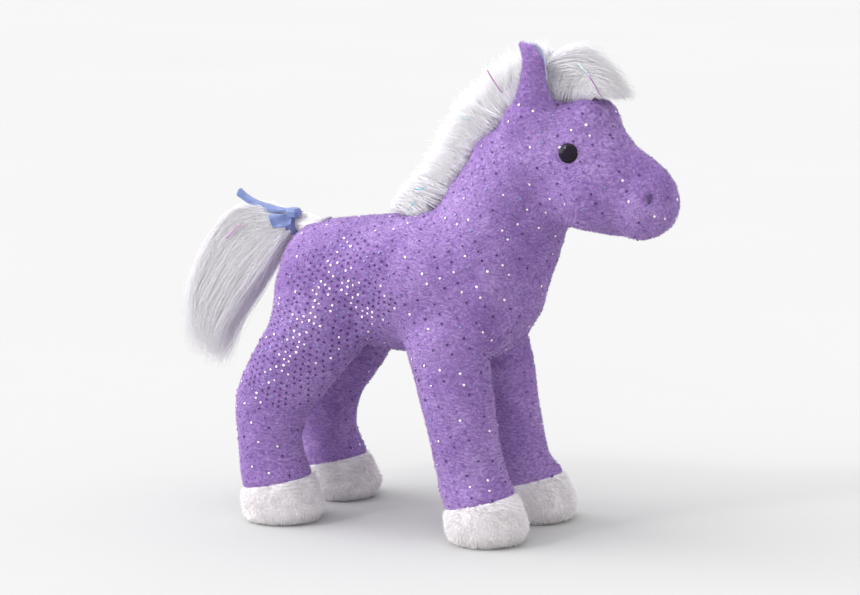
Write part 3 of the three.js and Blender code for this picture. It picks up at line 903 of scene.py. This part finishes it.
def discs(points, normals, radius, seed):
    """Small flat domes, each tipped a little its own way."""
    corners = 8
    r = rng(seed)
    n = len(points)
    normals = unit(normals + 0.16 * r.normal(size=(n, 3)))
    side = unit(np.cross(normals, [0.3, 0.2, 1.0]))
    other = np.cross(normals, side)
    turn = np.linspace(0, 2 * math.pi, corners, endpoint=False)
    size = radius * r.uniform(0.85, 1.12, n)
    ring = np.cos(turn)[None, :, None] * side[:, None, :] + np.sin(turn)[None, :, None] * other[:, None, :]
    ring = ring * size[:, None, None]
    base = points[:, None, :] + ring
    crown = points[:, None, :] + ring * 0.72 + normals[:, None, :] * 0.14
    top = points[:, None, :] + normals[:, None, :] * 0.17
    under = points[:, None, :] - normals[:, None, :] * 0.06
    verts = np.concatenate([base, crown, top, under], axis=1).reshape(-1, 3)
    k = np.arange(corners)
    m = (k + 1) % corners
    c, t, u = corners, 2 * corners, 2 * corners + 1
    one = np.concatenate([
        np.stack([k, m, k + c], 1), np.stack([m, m + c, k + c], 1),
        np.stack([k + c, m + c, np.full(c, t)], 1), np.stack([m, k, np.full(c, u)], 1)])
    faces = (np.arange(n)[:, None, None] * (2 * corners + 2) + one[None]).reshape(-1, 3)
    return verts, faces, len(one)


def add_foil(verts, quads, tree):
    places, normals = dot_places(tree)
    more, more_normals = on_top_places(verts, quads)
    places, normals = np.vstack([places, more]), unit(np.vstack([normals, more_normals]))
    names = region_of(places)
    r = rng(75)
    # Dots along the band on the rump and thigh are mostly bright foil: a painted highlight where the foil
    # catches the light. Of the rest, a share that grows in the close print takes the dark material: a
    # painted dark reflection.
    band = np.exp(-(distance_to_line(places[:, 0], places[:, 2], FOIL_HIGHLIGHT_BAND) / 5.2) ** 2)
    close = smoothstep(30, 18, distance_to_line(places[:, 0], places[:, 2], DENSE_PATCH))
    bright = r.random(len(places)) < 0.2 - 0.17 * close + 0.72 * band
    painted_dark_share = 0.42 + 0.36 * close
    chance = r.random(len(places))
    plain = np.where(chance < 0.14, 1, np.where(chance < 0.14 + painted_dark_share, 2, 3))
    tone = np.where(bright, 0, plain)
    for region in sorted(set(names)):
        mine = names == region
        if region.startswith("hoof_"):
            continue
        corners, faces, each = discs(places[mine] + normals[mine] * 0.42, normals[mine], DOT_RADIUS, 77)
        thing = make_mesh(f"foil_{region}", corners, faces, FOIL, np.repeat(tone[mine], each), smooth=False)
        place(thing, region)


# ---------------------------------------------------------------- long pile


def on_skin(points, tree):
    """The nearest place on the skin to each point, and the skin's direction there."""
    found = [tree.find_nearest(Vector(p)) for p in np.asarray(points).reshape(-1, 3)]
    shape = np.asarray(points).shape
    return (np.array([f[0] for f in found]).reshape(shape), np.array([f[1] for f in found]).reshape(shape))


def hairs(controls, width, segments, seed, curl=0.5, tip=0.18):
    """Tapered three-sided hairs, each through its own control points; controls is (k, n, 3)."""
    r = rng(seed)
    k, n, _ = controls.shape
    t = np.linspace(0, 1, segments + 1)
    line = through(controls.reshape(k, -1), t).reshape(segments + 1, n, 3)
    phase = r.uniform(0, 2 * math.pi, (1, n, 3))
    turns = r.uniform(0.5, 1.3, (1, n, 3))
    line = line + curl * np.sin(2 * math.pi * turns * t[:, None, None] + phase) * t[:, None, None]
    way = unit(np.gradient(line, axis=0))
    side = unit(np.cross(way, [0.12, 1.0, 0.2]))
    other = np.cross(way, side)
    thick = width * r.uniform(0.7, 1.25, (1, n, 1)) / 2 * (1 - (1 - tip) * t[:, None, None] ** 1.5)
    rings = []
    for q in range(3):
        angle = 2 * math.pi * q / 3
        rings.append(line + thick * (math.cos(angle) * side + math.sin(angle) * other))
    verts = np.stack(rings, axis=2).transpose(1, 0, 2, 3).reshape(-1, 3)
    per = 3 * (segments + 1)
    one = []
    for s in range(segments):
        for q in range(3):
            a, b = 3 * s + q, 3 * s + (q + 1) % 3
            one += [[a, b, b + 3], [a, b + 3, a + 3]]
    one += [[0, 2, 1], [per - 3, per - 2, per - 1]]
    one = np.array(one)
    faces = (np.arange(n)[:, None, None] * per + one[None]).reshape(-1, 3)
    return verts, faces, len(one)


def clumped(count, clumps, seed, spread=(0.05, 0.35)):
    """Where each hair starts and ends across a strip, gathered into locks: (start, end, lock)."""
    r = rng(seed)
    centre = np.c_[r.uniform(0, 1, clumps), r.uniform(-1, 1, clumps)]
    lock = r.integers(0, clumps, count)
    start = centre[lock] + r.normal(size=(count, 2)) * spread
    end = centre[lock] + (start - centre[lock]) * 0.45 + r.normal(size=(count, 2)) * (0.012, 0.1)
    return np.clip(start, (0, -1), (1, 1)), end, lock


def lock_tones(lock, count, seed):
    r = rng(seed)
    of_lock = r.normal(size=lock.max() + 1)[lock]
    return np.clip((1.5 + 0.55 * of_lock + 0.5 * r.normal(size=count)).astype(int), 0, len(HAIR_TONES) - 1)


def add_hair(name, body, tree, count, clumps, roots, mids, tips, half_width, seed):
    """A strip of pile: hairs from the root line over the middle line to the tip line, all in XZ."""
    start, end, lock = clumped(count, clumps, seed)
    r = rng(seed + 1)
    reach = (1.08 - 0.6 * r.random(count) ** 0.75) * (1 - 0.3 * np.clip(end[:, 1], -1, 1) ** 2)
    reach = reach * np.where(r.random(count) > 0.94, 1.08, 1.0)
    middle = (start + end) / 2

    def on(line, where, spread):
        p = through(np.array(line, float), where[:, 0])
        return np.c_[p[:, 0], where[:, 1] * spread, p[:, 1]]

    a, _ = on_skin(on(roots, start, half_width[0]), tree)
    b = on(mids, middle, half_width[1])
    c = on(tips, end, half_width[2]) + r.normal(size=(count, 3)) * (1.3, 0.8, 1.3)
    sink = r.uniform(-0.5, 1.5, (count, 1)) * unit(a - b)
    controls = np.stack([a + sink, a + (b - a) * reach[:, None], a + (c - a) * reach[:, None]])
    verts, faces, each = hairs(controls, 0.24, 4, seed + 2)
    thing = make_mesh(name, verts, faces, HAIR_TONES, np.repeat(lock_tones(lock, count, seed + 3), each))
    bent(thing)
    return thing


def pile_core(name, roots, tips, half_width, height):
    """A soft white fin inside a strip of pile, so that no dark shows between the hairs."""
    rows = 44
    base = through(np.array(roots, float), np.linspace(0, 1, rows))
    peak = through(np.array(tips, float), np.linspace(0, 1, rows))
    share = np.linspace(0, 1, 15)
    x = base[:, None, 0] + (peak - base)[:, None, 0] * share[None, :] * height
    z = base[:, None, 1] + (peak - base)[:, None, 1] * share[None, :] * height
    ends = np.sqrt(np.clip(1 - np.abs(np.linspace(-1, 1, rows)) ** 4, 0, 1))
    y = half_width * np.sqrt(np.clip(1 - share**2, 0, 1))[None, :] * ends[:, None] + 0.05
    z = z - (1 - share)[None, :] * 2.5
    verts, faces = slab_between(np.stack([x, y, z], 2), np.stack([x, -y, z], 2))
    thing = make_mesh(name, verts, faces, [PILE_CORE])
    bent(thing)


MANE_ROOTS = [(-7, 147.5), (5, 156), (14.5, 165), (23, 176), (31, 187.5), (39, 196.5)]
MANE_MIDS = [(-12, 149), (-4, 158.5), (6, 168.5), (15, 180), (21.5, 191), (28, 200)]
MANE_TIPS = [(-16, 147.5), (-9, 157), (0.5, 168.5), (7.5, 180), (14, 191), (22, 202)]
WITHERS_ROOTS = [(-3, 148), (6, 154), (13, 161)]
WITHERS_MIDS = [(-8, 149), (-1, 155), (6, 163)]
WITHERS_TIPS = [(-14, 148), (-7, 155.5), (1, 165)]
POLL_ROOTS = [(29, 186), (38, 196), (46, 202), (54, 204.5), (62, 204.5)]
POLL_MIDS = [(22, 194), (32, 204.5), (42, 212), (52, 216), (63, 217)]
POLL_TIPS = [(16, 195), (29, 209), (40.5, 219), (51, 224.5), (63, 227)]
LOCK_ROOTS = [(61, 203.5), (68, 205), (75, 205.5), (82, 205), (88.5, 204)]
LOCK_MIDS = [(67, 222), (74, 223), (81, 220), (89, 215.5), (95, 210)]
LOCK_TIPS = [(81, 227), (88.5, 223), (95.5, 217.5), (101.5, 211.5), (106, 204)]
LOCK_CORE = [(67, 220), (75, 220), (83, 217.5), (90, 213), (96, 208)]


def add_base_tape(name, tree, line, width, node):
    """The woven tape that a strip of pile is sewn to, on the skin along the crest."""
    line = through(np.array(line, float), np.linspace(0, 1, 40))
    across = np.linspace(-1, 1, 13)
    grid = np.stack(np.broadcast_arrays(line[:, :1], across * width / 2, line[:, 1:] + 0.5), axis=2)
    places, normals = on_skin(grid, tree)
    verts, faces = slab_between(places + normals * 0.3, places - normals * 0.6)
    thing = make_mesh(name, verts, faces, [TAPE])
    bent(thing)
    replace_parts(thing, node)


def add_mane(tree):
    strips = [
        ("mane", "neck", 7600, 300, MANE_ROOTS, MANE_MIDS, MANE_TIPS, (7.5, 9, 7.5), "mane_pile"),
        ("withers", "neck", 1600, 60, WITHERS_ROOTS, WITHERS_MIDS, WITHERS_TIPS, (10, 10, 8.5),
         "mane_pile"),
        ("poll", "head", 6200, 200, POLL_ROOTS, POLL_MIDS, POLL_TIPS, (7, 8.5, 7.5), "poll_pile"),
        ("forelock", "head", 7000, 220, LOCK_ROOTS, LOCK_MIDS, LOCK_TIPS, (7, 8.5, 6), "forelock_pile"),
    ]
    for k, (name, body, *settings, node) in enumerate(strips):
        for layer, step in (("a", 0), ("b", 5)):
            hair = add_hair(f"{name}_hair_{layer}", body, tree, *settings, 300 + 10 * k + step)
            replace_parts(hair, node)
    pile_core("mane_core", MANE_ROOTS, MANE_TIPS, 5.4, 0.62)
    pile_core("poll_core", POLL_ROOTS, POLL_TIPS, 5.2, 0.62)
    pile_core("forelock_core", LOCK_ROOTS, LOCK_CORE, 4.4, 0.62)
    add_base_tape("mane_base", tree, MANE_ROOTS[1:], 6, "mane_tape")
    add_base_tape("poll_base", tree, POLL_ROOTS[1:], 6, "poll_tape")
    add_base_tape("forelock_base", tree, LOCK_ROOTS[1:4], 6, "forelock_tape")


TAIL_OUTER = [
    (-66, 139.6), (-73, 141.2), (-86, 143.5), (-98.5, 140.5),
    (-109.5, 128), (-119, 112.5), (-125, 94), (-124, 72),
]
TAIL_INNER = [
    (-66, 134), (-70.5, 131.5), (-76, 124), (-82.5, 114),
    (-90, 103), (-97.5, 92), (-104.5, 80), (-109, 64),
]
TAIL_HALF = [3.2, 3.6, 5.5, 7.0, 8.0, 8.5, 8.5, 8.5]
TAIL_CORE = [
    [-71, 134, -75, 140, 0, 2.6],
    [-82, 129, -91, 138, 0, 3.4],
    [-94, 116, -106, 127, 0, 4.2],
    [-103, 104, -115, 113, 0, 4.4],
    [-108, 96, -118, 101, 0, 3],
]
DOCK = [
    [-54, 132, -54, 124, 0, 4.0],
    [-60, 140, -60, 132, 0, 4.2],
    [-66, 140.9, -66, 132.4, 0, 4.2],
    [-73, 140.4, -73, 132.4, 0, 4.0],
]
# The tuft's rings: x, radius and whether the hairs are sewn to the skin there.
TUFT_RINGS = [(-50.0, 4.6, True), (-56.0, 5.0, True), (-60.5, 4.8, False), (-65.0, 3.4, False),
              (-70.5, 3.4, False)]


def tail_hair(name, count, seed):
    start, end, lock = clumped(count, 260, seed, (0.08, 0.35))
    r = rng(seed + 1)
    outer, inner = np.array(TAIL_OUTER, float), np.array(TAIL_INNER, float)
    controls = []
    for k in range(len(outer)):
        share = k / (len(outer) - 1)
        where = start + (end - start) * share
        p = outer[k] + (inner[k] - outer[k]) * where[:, :1]
        controls.append(np.c_[p[:, 0], where[:, 1] * TAIL_HALF[k], p[:, 1]])
    controls = np.stack(controls)
    reach = 0.34 + 0.66 * r.random(count) ** 1.25
    t = np.linspace(0, 1, 8)
    flat = through(controls.reshape(len(outer), -1), np.linspace(0, 1, 57)).reshape(57, count, 3)
    picked = (t[:, None] * reach[None, :] * 56).round().astype(int)
    controls = np.take_along_axis(flat, picked[:, :, None], axis=0)
    verts, faces, each = hairs(controls, 0.22, 6, seed + 2, curl=2.0)
    hair = make_mesh(name, verts, faces, HAIR_TONES, np.repeat(lock_tones(lock, count, seed + 3), each))
    bent(hair)
    return hair


def add_tail_core():
    """A white core in the upper half of the tail, so that no dark shows between the hairs."""
    verts, quads, _ = loft(TAIL_CORE, 3, 12, around=24, spans=24, cap_rings=5)
    core = make_mesh("tail_core", verts, quads, [PILE_CORE])
    bent(core)


def add_dock():
    verts, quads, _ = loft(DOCK, 2, 4, around=20, spans=10, cap_rings=4)
    dock = make_mesh("tail_dock_cover", verts, quads, [PILE_CORE])
    bent(dock)
    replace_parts(dock, "tail_dock")


def add_tail_tuft(tree):
    """Short hair that covers the dock, from the rump to past the ribbon."""
    n = 900
    r = rng(350)
    turn = r.uniform(0, 2 * math.pi, n)
    lines = []
    for x, radius, sewn in TUFT_RINGS:
        back = np.full(n, x) - r.uniform(0, 3.5, n)
        ring = np.c_[back, radius * np.cos(turn), 136.6 + radius * np.sin(turn)]
        if sewn:
            ring, normals = on_skin(ring, tree)
            ring = ring + normals * r.uniform(0.1, 1.4, (n, 1))
        lines.append(ring)
    verts, faces, each = hairs(np.stack(lines), 0.42, 4, 352, curl=0.35)
    tuft = make_mesh("tail_tuft", verts, faces, HAIR_TONES, np.repeat(r.integers(0, 3, n), each))
    bent(tuft)


def add_tail(tree):
    add_tail_core()
    for k, letter in enumerate("abcde"):
        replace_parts(tail_hair(f"tail_hair_{letter}", 5200, 340 + 10 * k), "tail_switch")
    add_dock()
    add_tail_tuft(tree)


def add_tinsel():
    """A few strands of tinsel lie in the pile: (name, body, tone, points in XZ, how far to the side)."""
    rows = [
        ("tinsel_poll", "head", 0, [(37.5, 214.5), (41, 209.5), (45.5, 204.5)], 9.3),
        ("tinsel_mane", "neck", 1, [(19.5, 192.5), (24, 192.2), (28.5, 191.2)], 9.0),
        ("tinsel_mane_low", "neck", 2, [(1, 157.5), (4, 157.8), (7, 159)], 9.0),
        ("tinsel_withers", "neck", 2, [(-4.5, 146), (-2, 149), (1, 151.5)], 9.0),
        ("tinsel_forelock", "head", 1, [(83, 219), (89, 213.5), (93, 207), (96.5, 204.5)], 9.3),
        ("tinsel_forelock_pink", "head", 0, [(88, 214.5), (92, 209), (95, 205)], 9.6),
        ("tinsel_tail", "tail_switch", 0, [(-100, 128), (-95.5, 132), (-91, 136)], 10.0),
    ]
    for k, (name, body, tone, line, aside) in enumerate(rows):
        both = []
        for side in SIDES.values():
            p = np.array([[x, side * aside, z] for x, z in line], float)
            both.append(through(p, np.linspace(0, 1, 4)))
        verts, faces, _ = hairs(np.stack(both, axis=1), 0.62, 8, 360 + k, curl=0.4, tip=0.7)
        thing = make_mesh(name, verts, faces, [TINSEL[tone]])
        bent(thing)


# ---------------------------------------------------------------- ears, eyes, stitches

EAR_RINGS = [  # centre x, aside, z; half depth in x; half width in y
    (64.2, 9.6, 190.0, 11.0, 4.4),
    (64.0, 10.0, 197.5, 10.8, 5.2),
    (63.6, 10.8, 203.5, 9.2, 5.4),
    (63.4, 11.6, 209.5, 7.0, 5.0),
    (63.6, 12.4, 215.5, 5.8, 4.4),
    (63.8, 13.0, 221.0, 5.4, 3.8),
    (63.0, 13.4, 225.0, 5.6, 3.0),
    (61.8, 13.6, 227.2, 5.2, 2.0),
    (61.2, 13.7, 228.4, 3.6, 1.0),
]


def ear_grid(side, offset, far_edge=126):
    """The ear's folded leaf, moved out by offset: its back is folded and its front is open."""
    rows, columns = 40, 34
    up = np.linspace(0, 1, rows)
    ring = through(np.array(EAR_RINGS, float), up)
    near_edge = -150 + 34 * smoothstep(0.5, 0.85, up)
    across = np.linspace(0, 1, columns)[None, :]
    wrap = np.radians(near_edge[:, None] + (far_edge - near_edge)[:, None] * across)
    x = ring[:, None, 0] - (ring[:, None, 3] + offset) * np.cos(wrap)
    y = ring[:, None, 1] - (ring[:, None, 4] + offset) * np.sin(wrap)
    z = ring[:, None, 2] - smoothstep(0.75, 1.0, up)[:, None] * 0.6 * (1 - np.cos(wrap))
    if side > 0:
        rise = z - EAR_RINGS[0][2]
        x, z = x - 0.09 * rise, z - 0.17 * rise
    return np.stack([x, side * y, z], axis=2)


def add_ear_nap(side_name, side, leaf):
    quads = sheet_faces(*leaf.shape[:2])
    if side < 0:
        quads = quads[:, ::-1]
    points, normals = scattered(leaf.reshape(-1, 3), quads, 3.2, 400)
    r = rng(401 + side)
    n = len(points)
    away = (points - (63.4, side * 13.2, 0)) * (1, 1, 0)
    flip = np.sign(np.sum(normals * away, axis=1))[:, None]
    normals = normals * np.where(flip == 0, 1, flip)
    way = unit(np.array([-0.1, 0, 1.0]) + 0.3 * r.normal(size=(n, 3)))
    length = 1.2 * r.uniform(0.6, 1.2, n)
    width = 0.3 * r.uniform(0.7, 1.3, n)
    lift = np.clip(0.4 + 0.15 * r.normal(size=n), 0.1, 0.9)
    corners, faces = spikes(points, normals, way, length, width, lift)
    # Fibres near the ear's tip take lighter tones: a painted highlight on the tip, with random tone on top.
    tip = 1.6 * smoothstep(216, 226, points[:, 2])
    tone = np.clip((1.5 + tip + 0.7 * noise(points, 6, 19) + 0.6 * r.normal(size=n)).astype(int), 0, 3)
    nap = make_mesh(f"nap_ear_{side_name}", corners, faces, NAP_TONES, np.repeat(tone, 4), smooth=False)
    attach(nap, f"ear_{side_name}")


def add_ears():
    for side_name, side in SIDES.items():
        middle, outer = ear_grid(side, 0.0, 112), ear_grid(side, 1.0, 112)
        inner, under = ear_grid(side, -0.7), ear_grid(side, 0.0)
        layers = [("ear_cover", outer, middle, VELBOA, "velboa", "ear_outer"),
                  ("ear_inside", under, inner, LINING, "ear_lining", "ear_lining")]
        for name, front, back, material, slot, node in layers:
            verts, faces = slab_between(front, back)
            if side < 0:
                faces = faces[:, ::-1]
            thing = make_mesh(f"{name}_{side_name}", verts, faces, [material])
            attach(thing, f"ear_{side_name}")
            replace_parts(thing, f"{node}_{side_name}")
        add_ear_nap(side_name, side, outer)


def turned(profile, centre, axis):
    """A closed turned form: profile is (height along the axis, radius) from the back to the crown."""
    around = 40
    axis = unit(axis)
    side = unit(np.cross(axis, [0.1, 0.0, 1.0]))
    other = np.cross(axis, side)
    turn = np.linspace(0, 2 * math.pi, around, endpoint=False)
    rows = [centre + axis * h + radius * (np.cos(turn)[:, None] * side + np.sin(turn)[:, None] * other)
            for h, radius in profile]
    return np.concatenate(rows), tube_faces(len(profile), around)


def add_eyes(tree):
    for side_name, side in SIDES.items():
        found = tree.ray_cast(Vector((EYE[0], side * 60, EYE[2])), Vector((0, -side, 0)))
        centre = np.array(found[0]) - np.array([0, side * 0.4, 0])
        lean = np.array([0.12, side, 0.1])
        rim = [(0, 0.02), (0, 3.9), (0.15, 4.35), (0.6, 4.55), (1.3, 4.5)]
        angles = np.linspace(0.12, math.pi / 2, 12)
        dome = rim + [(1.3 + 2.3 * math.sin(a), 4.5 * math.cos(a) + 0.01) for a in angles]
        verts, faces = turned(dome, centre, lean)
        thing = make_mesh(f"eye_dome_{side_name}", verts, faces, [EYE_PLASTIC])
        bent(thing)
        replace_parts(thing, f"eye_{side_name}")


def add_nostrils(tree):
    """A few close stitches draw each nostril in."""
    for side_name, side in SIDES.items():
        middle = np.array([NOSTRIL[0], side * NOSTRIL[1], NOSTRIL[2]])
        lines = []
        for k in range(-1, 2):
            for t in (-1.0, -0.45, 0.0, 0.45, 1.0):
                lines.append(middle + np.array([0.5 * k + 0.5 * t, 0, 1.9 * t + 0.12 * k]))
        places, normals = on_skin(np.array(lines), tree)
        arch = np.tile([0.1, 0.5, 0.6, 0.5, 0.1], 3)[:, None]
        controls = (places + normals * arch).reshape(3, 5, 3).transpose(1, 0, 2)
        verts, faces, _ = hairs(controls, 0.62, 8, 390, curl=0.0, tip=1.0)
        thing = make_mesh(f"nostril_thread_{side_name}", verts, faces, [THREAD])
        bent(thing)
        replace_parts(thing, f"nostril_stitch_{side_name}")


def give(node, material):
    """A CAD node that stays takes a detailed material in place of its plain one."""
    thing = bpy.data.objects[node]
    for slot in thing.material_slots:
        slot.material = material
    if not thing.material_slots:
        thing.data.materials.append(material)


# ---------------------------------------------------------------- ribbon


def strip(line, sections, thickness):
    """A ribbon along a line: sections holds the offsets of its cross line at each point of the line."""
    line, sections = np.asarray(line, float), np.asarray(sections, float)
    front = line[:, None, :] + sections
    across = np.gradient(front, axis=1)
    ahead = np.gradient(front, axis=0)
    square = unit(np.cross(ahead, across))
    return slab_between(front + square * thickness / 2, front - square * thickness / 2)


def add_band():
    """Gathered satin round the tail's root."""
    low, high = box_mm("ribbon_band")
    x = np.linspace(low[0] + 0.2, high[0] - 1.3, 22)
    turn = np.linspace(0, 2 * math.pi, 73)[:-1]
    fold = 0.32 * np.sin(2.3 * (x[:, None] - low[0]) + 1.3 * np.sin(2 * turn)[None, :])
    fold = fold + 0.15 * np.sin(7 * turn + 1)[None, :] + 0.25 * np.sin(turn * 3)[None, :]
    centre = (low + high) / 2
    rings = []
    for radius in (5.55, 4.95):
        r = radius + fold
        rings.append(np.stack([np.broadcast_to(x[:, None], r.shape), centre[1] + r * np.cos(turn),
                               centre[2] + r * np.sin(turn)], axis=2))
    rows, columns, _ = rings[0].shape
    n = rows * columns
    wall = tube_faces(rows, columns)
    k = np.arange(columns)
    m = (k + 1) % columns
    rim = np.stack([k, m, m + n, k + n], 1)
    faces = np.vstack([wall[:, ::-1], wall + n, rim[:, ::-1], rim + n - columns])
    band = make_mesh("band_satin", np.concatenate(rings).reshape(-1, 3), faces, [SATIN])
    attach(band, "tail_root")
    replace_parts(band, "ribbon_band")


def add_knot():
    low, high = box_mm("ribbon_knot")
    centre, half = (low + high) / 2, (high - low) / 2
    u = np.linspace(0, 2 * math.pi, 40, endpoint=False)
    v = np.linspace(-math.pi / 2, math.pi / 2, 25)
    power = 0.62

    def rounded(c):
        return np.sign(c) * np.abs(c) ** power

    ripple = 1 + 0.05 * np.sin(5 * u + 1)[None, :] * np.cos(v)[:, None]
    ripple = ripple + 0.05 * np.sin(9 * v + 0.6)[:, None]
    px = centre[0] + half[0] * rounded(np.cos(v))[:, None] * rounded(np.cos(u))[None, :] * ripple
    py = centre[1] + half[1] * rounded(np.cos(v))[:, None] * rounded(np.sin(u))[None, :] * ripple
    pz = centre[2] + half[2] * np.broadcast_to(rounded(np.sin(v))[:, None], px.shape)
    grid = np.stack([px, py, pz], axis=2).reshape(-1, 3)
    knot = make_mesh("knot_satin", grid, tube_faces(len(v), len(u)), [SATIN])
    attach(knot, "tail_root")
    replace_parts(knot, "ribbon_knot")


STREAMER = [(-67, -5.6, 143.2), (-77, -5.4, 142.6), (-88, -5.0, 145.0), (-97, -4.6, 149.6)]
SHORT_END = [(-65.8, -7.4, 138.4), (-70, -8.3, 138.2), (-76.5, -8.9, 137.6)]


def add_streamer():
    """The long end, folded lengthwise so that it shows about half its width."""
    t = np.linspace(0, 1, 60)
    line = through(STREAMER, t)
    w = np.linspace(0, 1, 15)
    size = 0.3 + 0.52 * smoothstep(0, 0.45, t)
    fold = 0.62
    down = np.where(w < fold, w / fold, 1.0)
    back = np.where(w < fold, 0.0, (w - fold) / (1 - fold))
    z = (-2.0 + 4.0 * down[None, :] + 0.3 * back[None, :]) * size[:, None]
    belly = 0.5 * np.sin(math.pi * down) * (w < fold)
    y = (2.4 * back - belly)[None, :] * size[:, None]
    lean = 0.25 * np.sin(5 * t + 0.5)[:, None] * z
    slant = (t ** 6)[:, None] * (z + 1.0) * 0.45
    section = np.stack([slant, y + lean, z], axis=2)
    streamer = make_mesh("streamer_satin", *strip(line, section, 0.3), [SATIN])
    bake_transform(streamer)
    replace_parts(streamer, "ribbon_streamer")


def add_short_end():
    t = np.linspace(0, 1, 36)
    line = through(SHORT_END, t)
    w = np.linspace(-1, 1, 13)
    size = 2.3 + 0.9 * smoothstep(0, 0.4, t)
    z = w[None, :] * size[:, None]
    y = 0.35 * np.sin(3 * w[None, :] + 4 * t[:, None]) + 0.2 * np.sin(9 * t)[:, None]
    slant = (t ** 5)[:, None] * -w[None, :] * 1.1
    short = make_mesh("short_end_satin", *strip(line, np.stack([slant, y, z], axis=2), 0.3), [SATIN])
    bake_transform(short)
    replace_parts(short, "ribbon_short_end")


def add_ribbon():
    """Satin tied round the tail."""
    add_band()
    add_knot()
    add_streamer()
    add_short_end()


# ---------------------------------------------------------------- scene


def sun(name, from_mm, strength, softness_degrees):
    data = bpy.data.lights.new(name, "SUN")
    data.energy = strength
    data.angle = math.radians(softness_degrees)
    thing = bpy.data.objects.new(name, data)
    thing.rotation_euler = Vector(from_mm).to_track_quat("Z", "Y").to_euler()
    bpy.context.scene.collection.objects.link(thing)


def studio():
    """A pale floor that fills the view, with soft light from the upper left and from above."""
    r = 12000.0
    floor = make_mesh("floor", [[-r, -r, 0], [r, -r, 0], [r, r, 0], [-r, r, 0]], [[0, 1, 2, 3]], [])
    paper = new_material("paper", Roughness=1.0, Specular_IOR_Level=0.0)
    g = Graph(paper)
    g.set("Base Color", g.ramp(g.noise(3.0), (0.3, (0.515, 0.515, 0.515)), (0.7, (0.525, 0.525, 0.525))))
    floor.data.materials.append(paper)
    world = bpy.data.worlds.new("room")
    world.use_nodes = True
    world.node_tree.nodes["Background"].inputs["Color"].default_value = (1, 1, 1, 1)
    world.node_tree.nodes["Background"].inputs["Strength"].default_value = 1.0
    bpy.context.scene.world = world
    sun("key", (-1550, -600, 850), 3.1, 70)
    sun("spark", (-700, -1000, 900), 0.5, 8)
    sun("top", (-200, 300, 1300), 0.8, 80)


def camera():
    """A long lens, 27 degrees round from the pony's right side towards its nose and 10 degrees up."""
    azimuth, elevation, distance = math.radians(27.12), math.radians(9.57), 1600.0
    target = np.array([3.67, 0, 105.91])
    level = math.cos(elevation)
    back = np.array([math.sin(azimuth) * level, -math.cos(azimuth) * level, math.sin(elevation)])
    data = bpy.data.cameras.new("camera")
    data.lens = 144.0
    data.clip_end = 20
    thing = bpy.data.objects.new("camera", data)
    thing.location = Vector(target + back * distance) * MM
    thing.rotation_euler = Vector(back).to_track_quat("Z", "Y").to_euler()
    bpy.context.scene.collection.objects.link(thing)
    bpy.context.scene.camera = thing


bpy.context.scene.view_settings.view_transform = "Standard"
camera()
studio()
skin_verts, skin_quads = dressed_skin()
skin_pieces = add_skin(skin_verts, skin_quads)
add_all_nap(skin_pieces)
skin_tree = BVHTree.FromPolygons(skin_verts.tolist(), skin_quads.tolist())
add_foil(skin_verts, skin_quads, skin_tree)
add_mane(skin_tree)
add_tail(skin_tree)
add_tinsel()
add_ears()
add_eyes(skin_tree)
add_ribbon()
add_nostrils(skin_tree)
washer = washer_material()
for side_name in SIDES:
    give(f"eye_washer_{side_name}", washer)
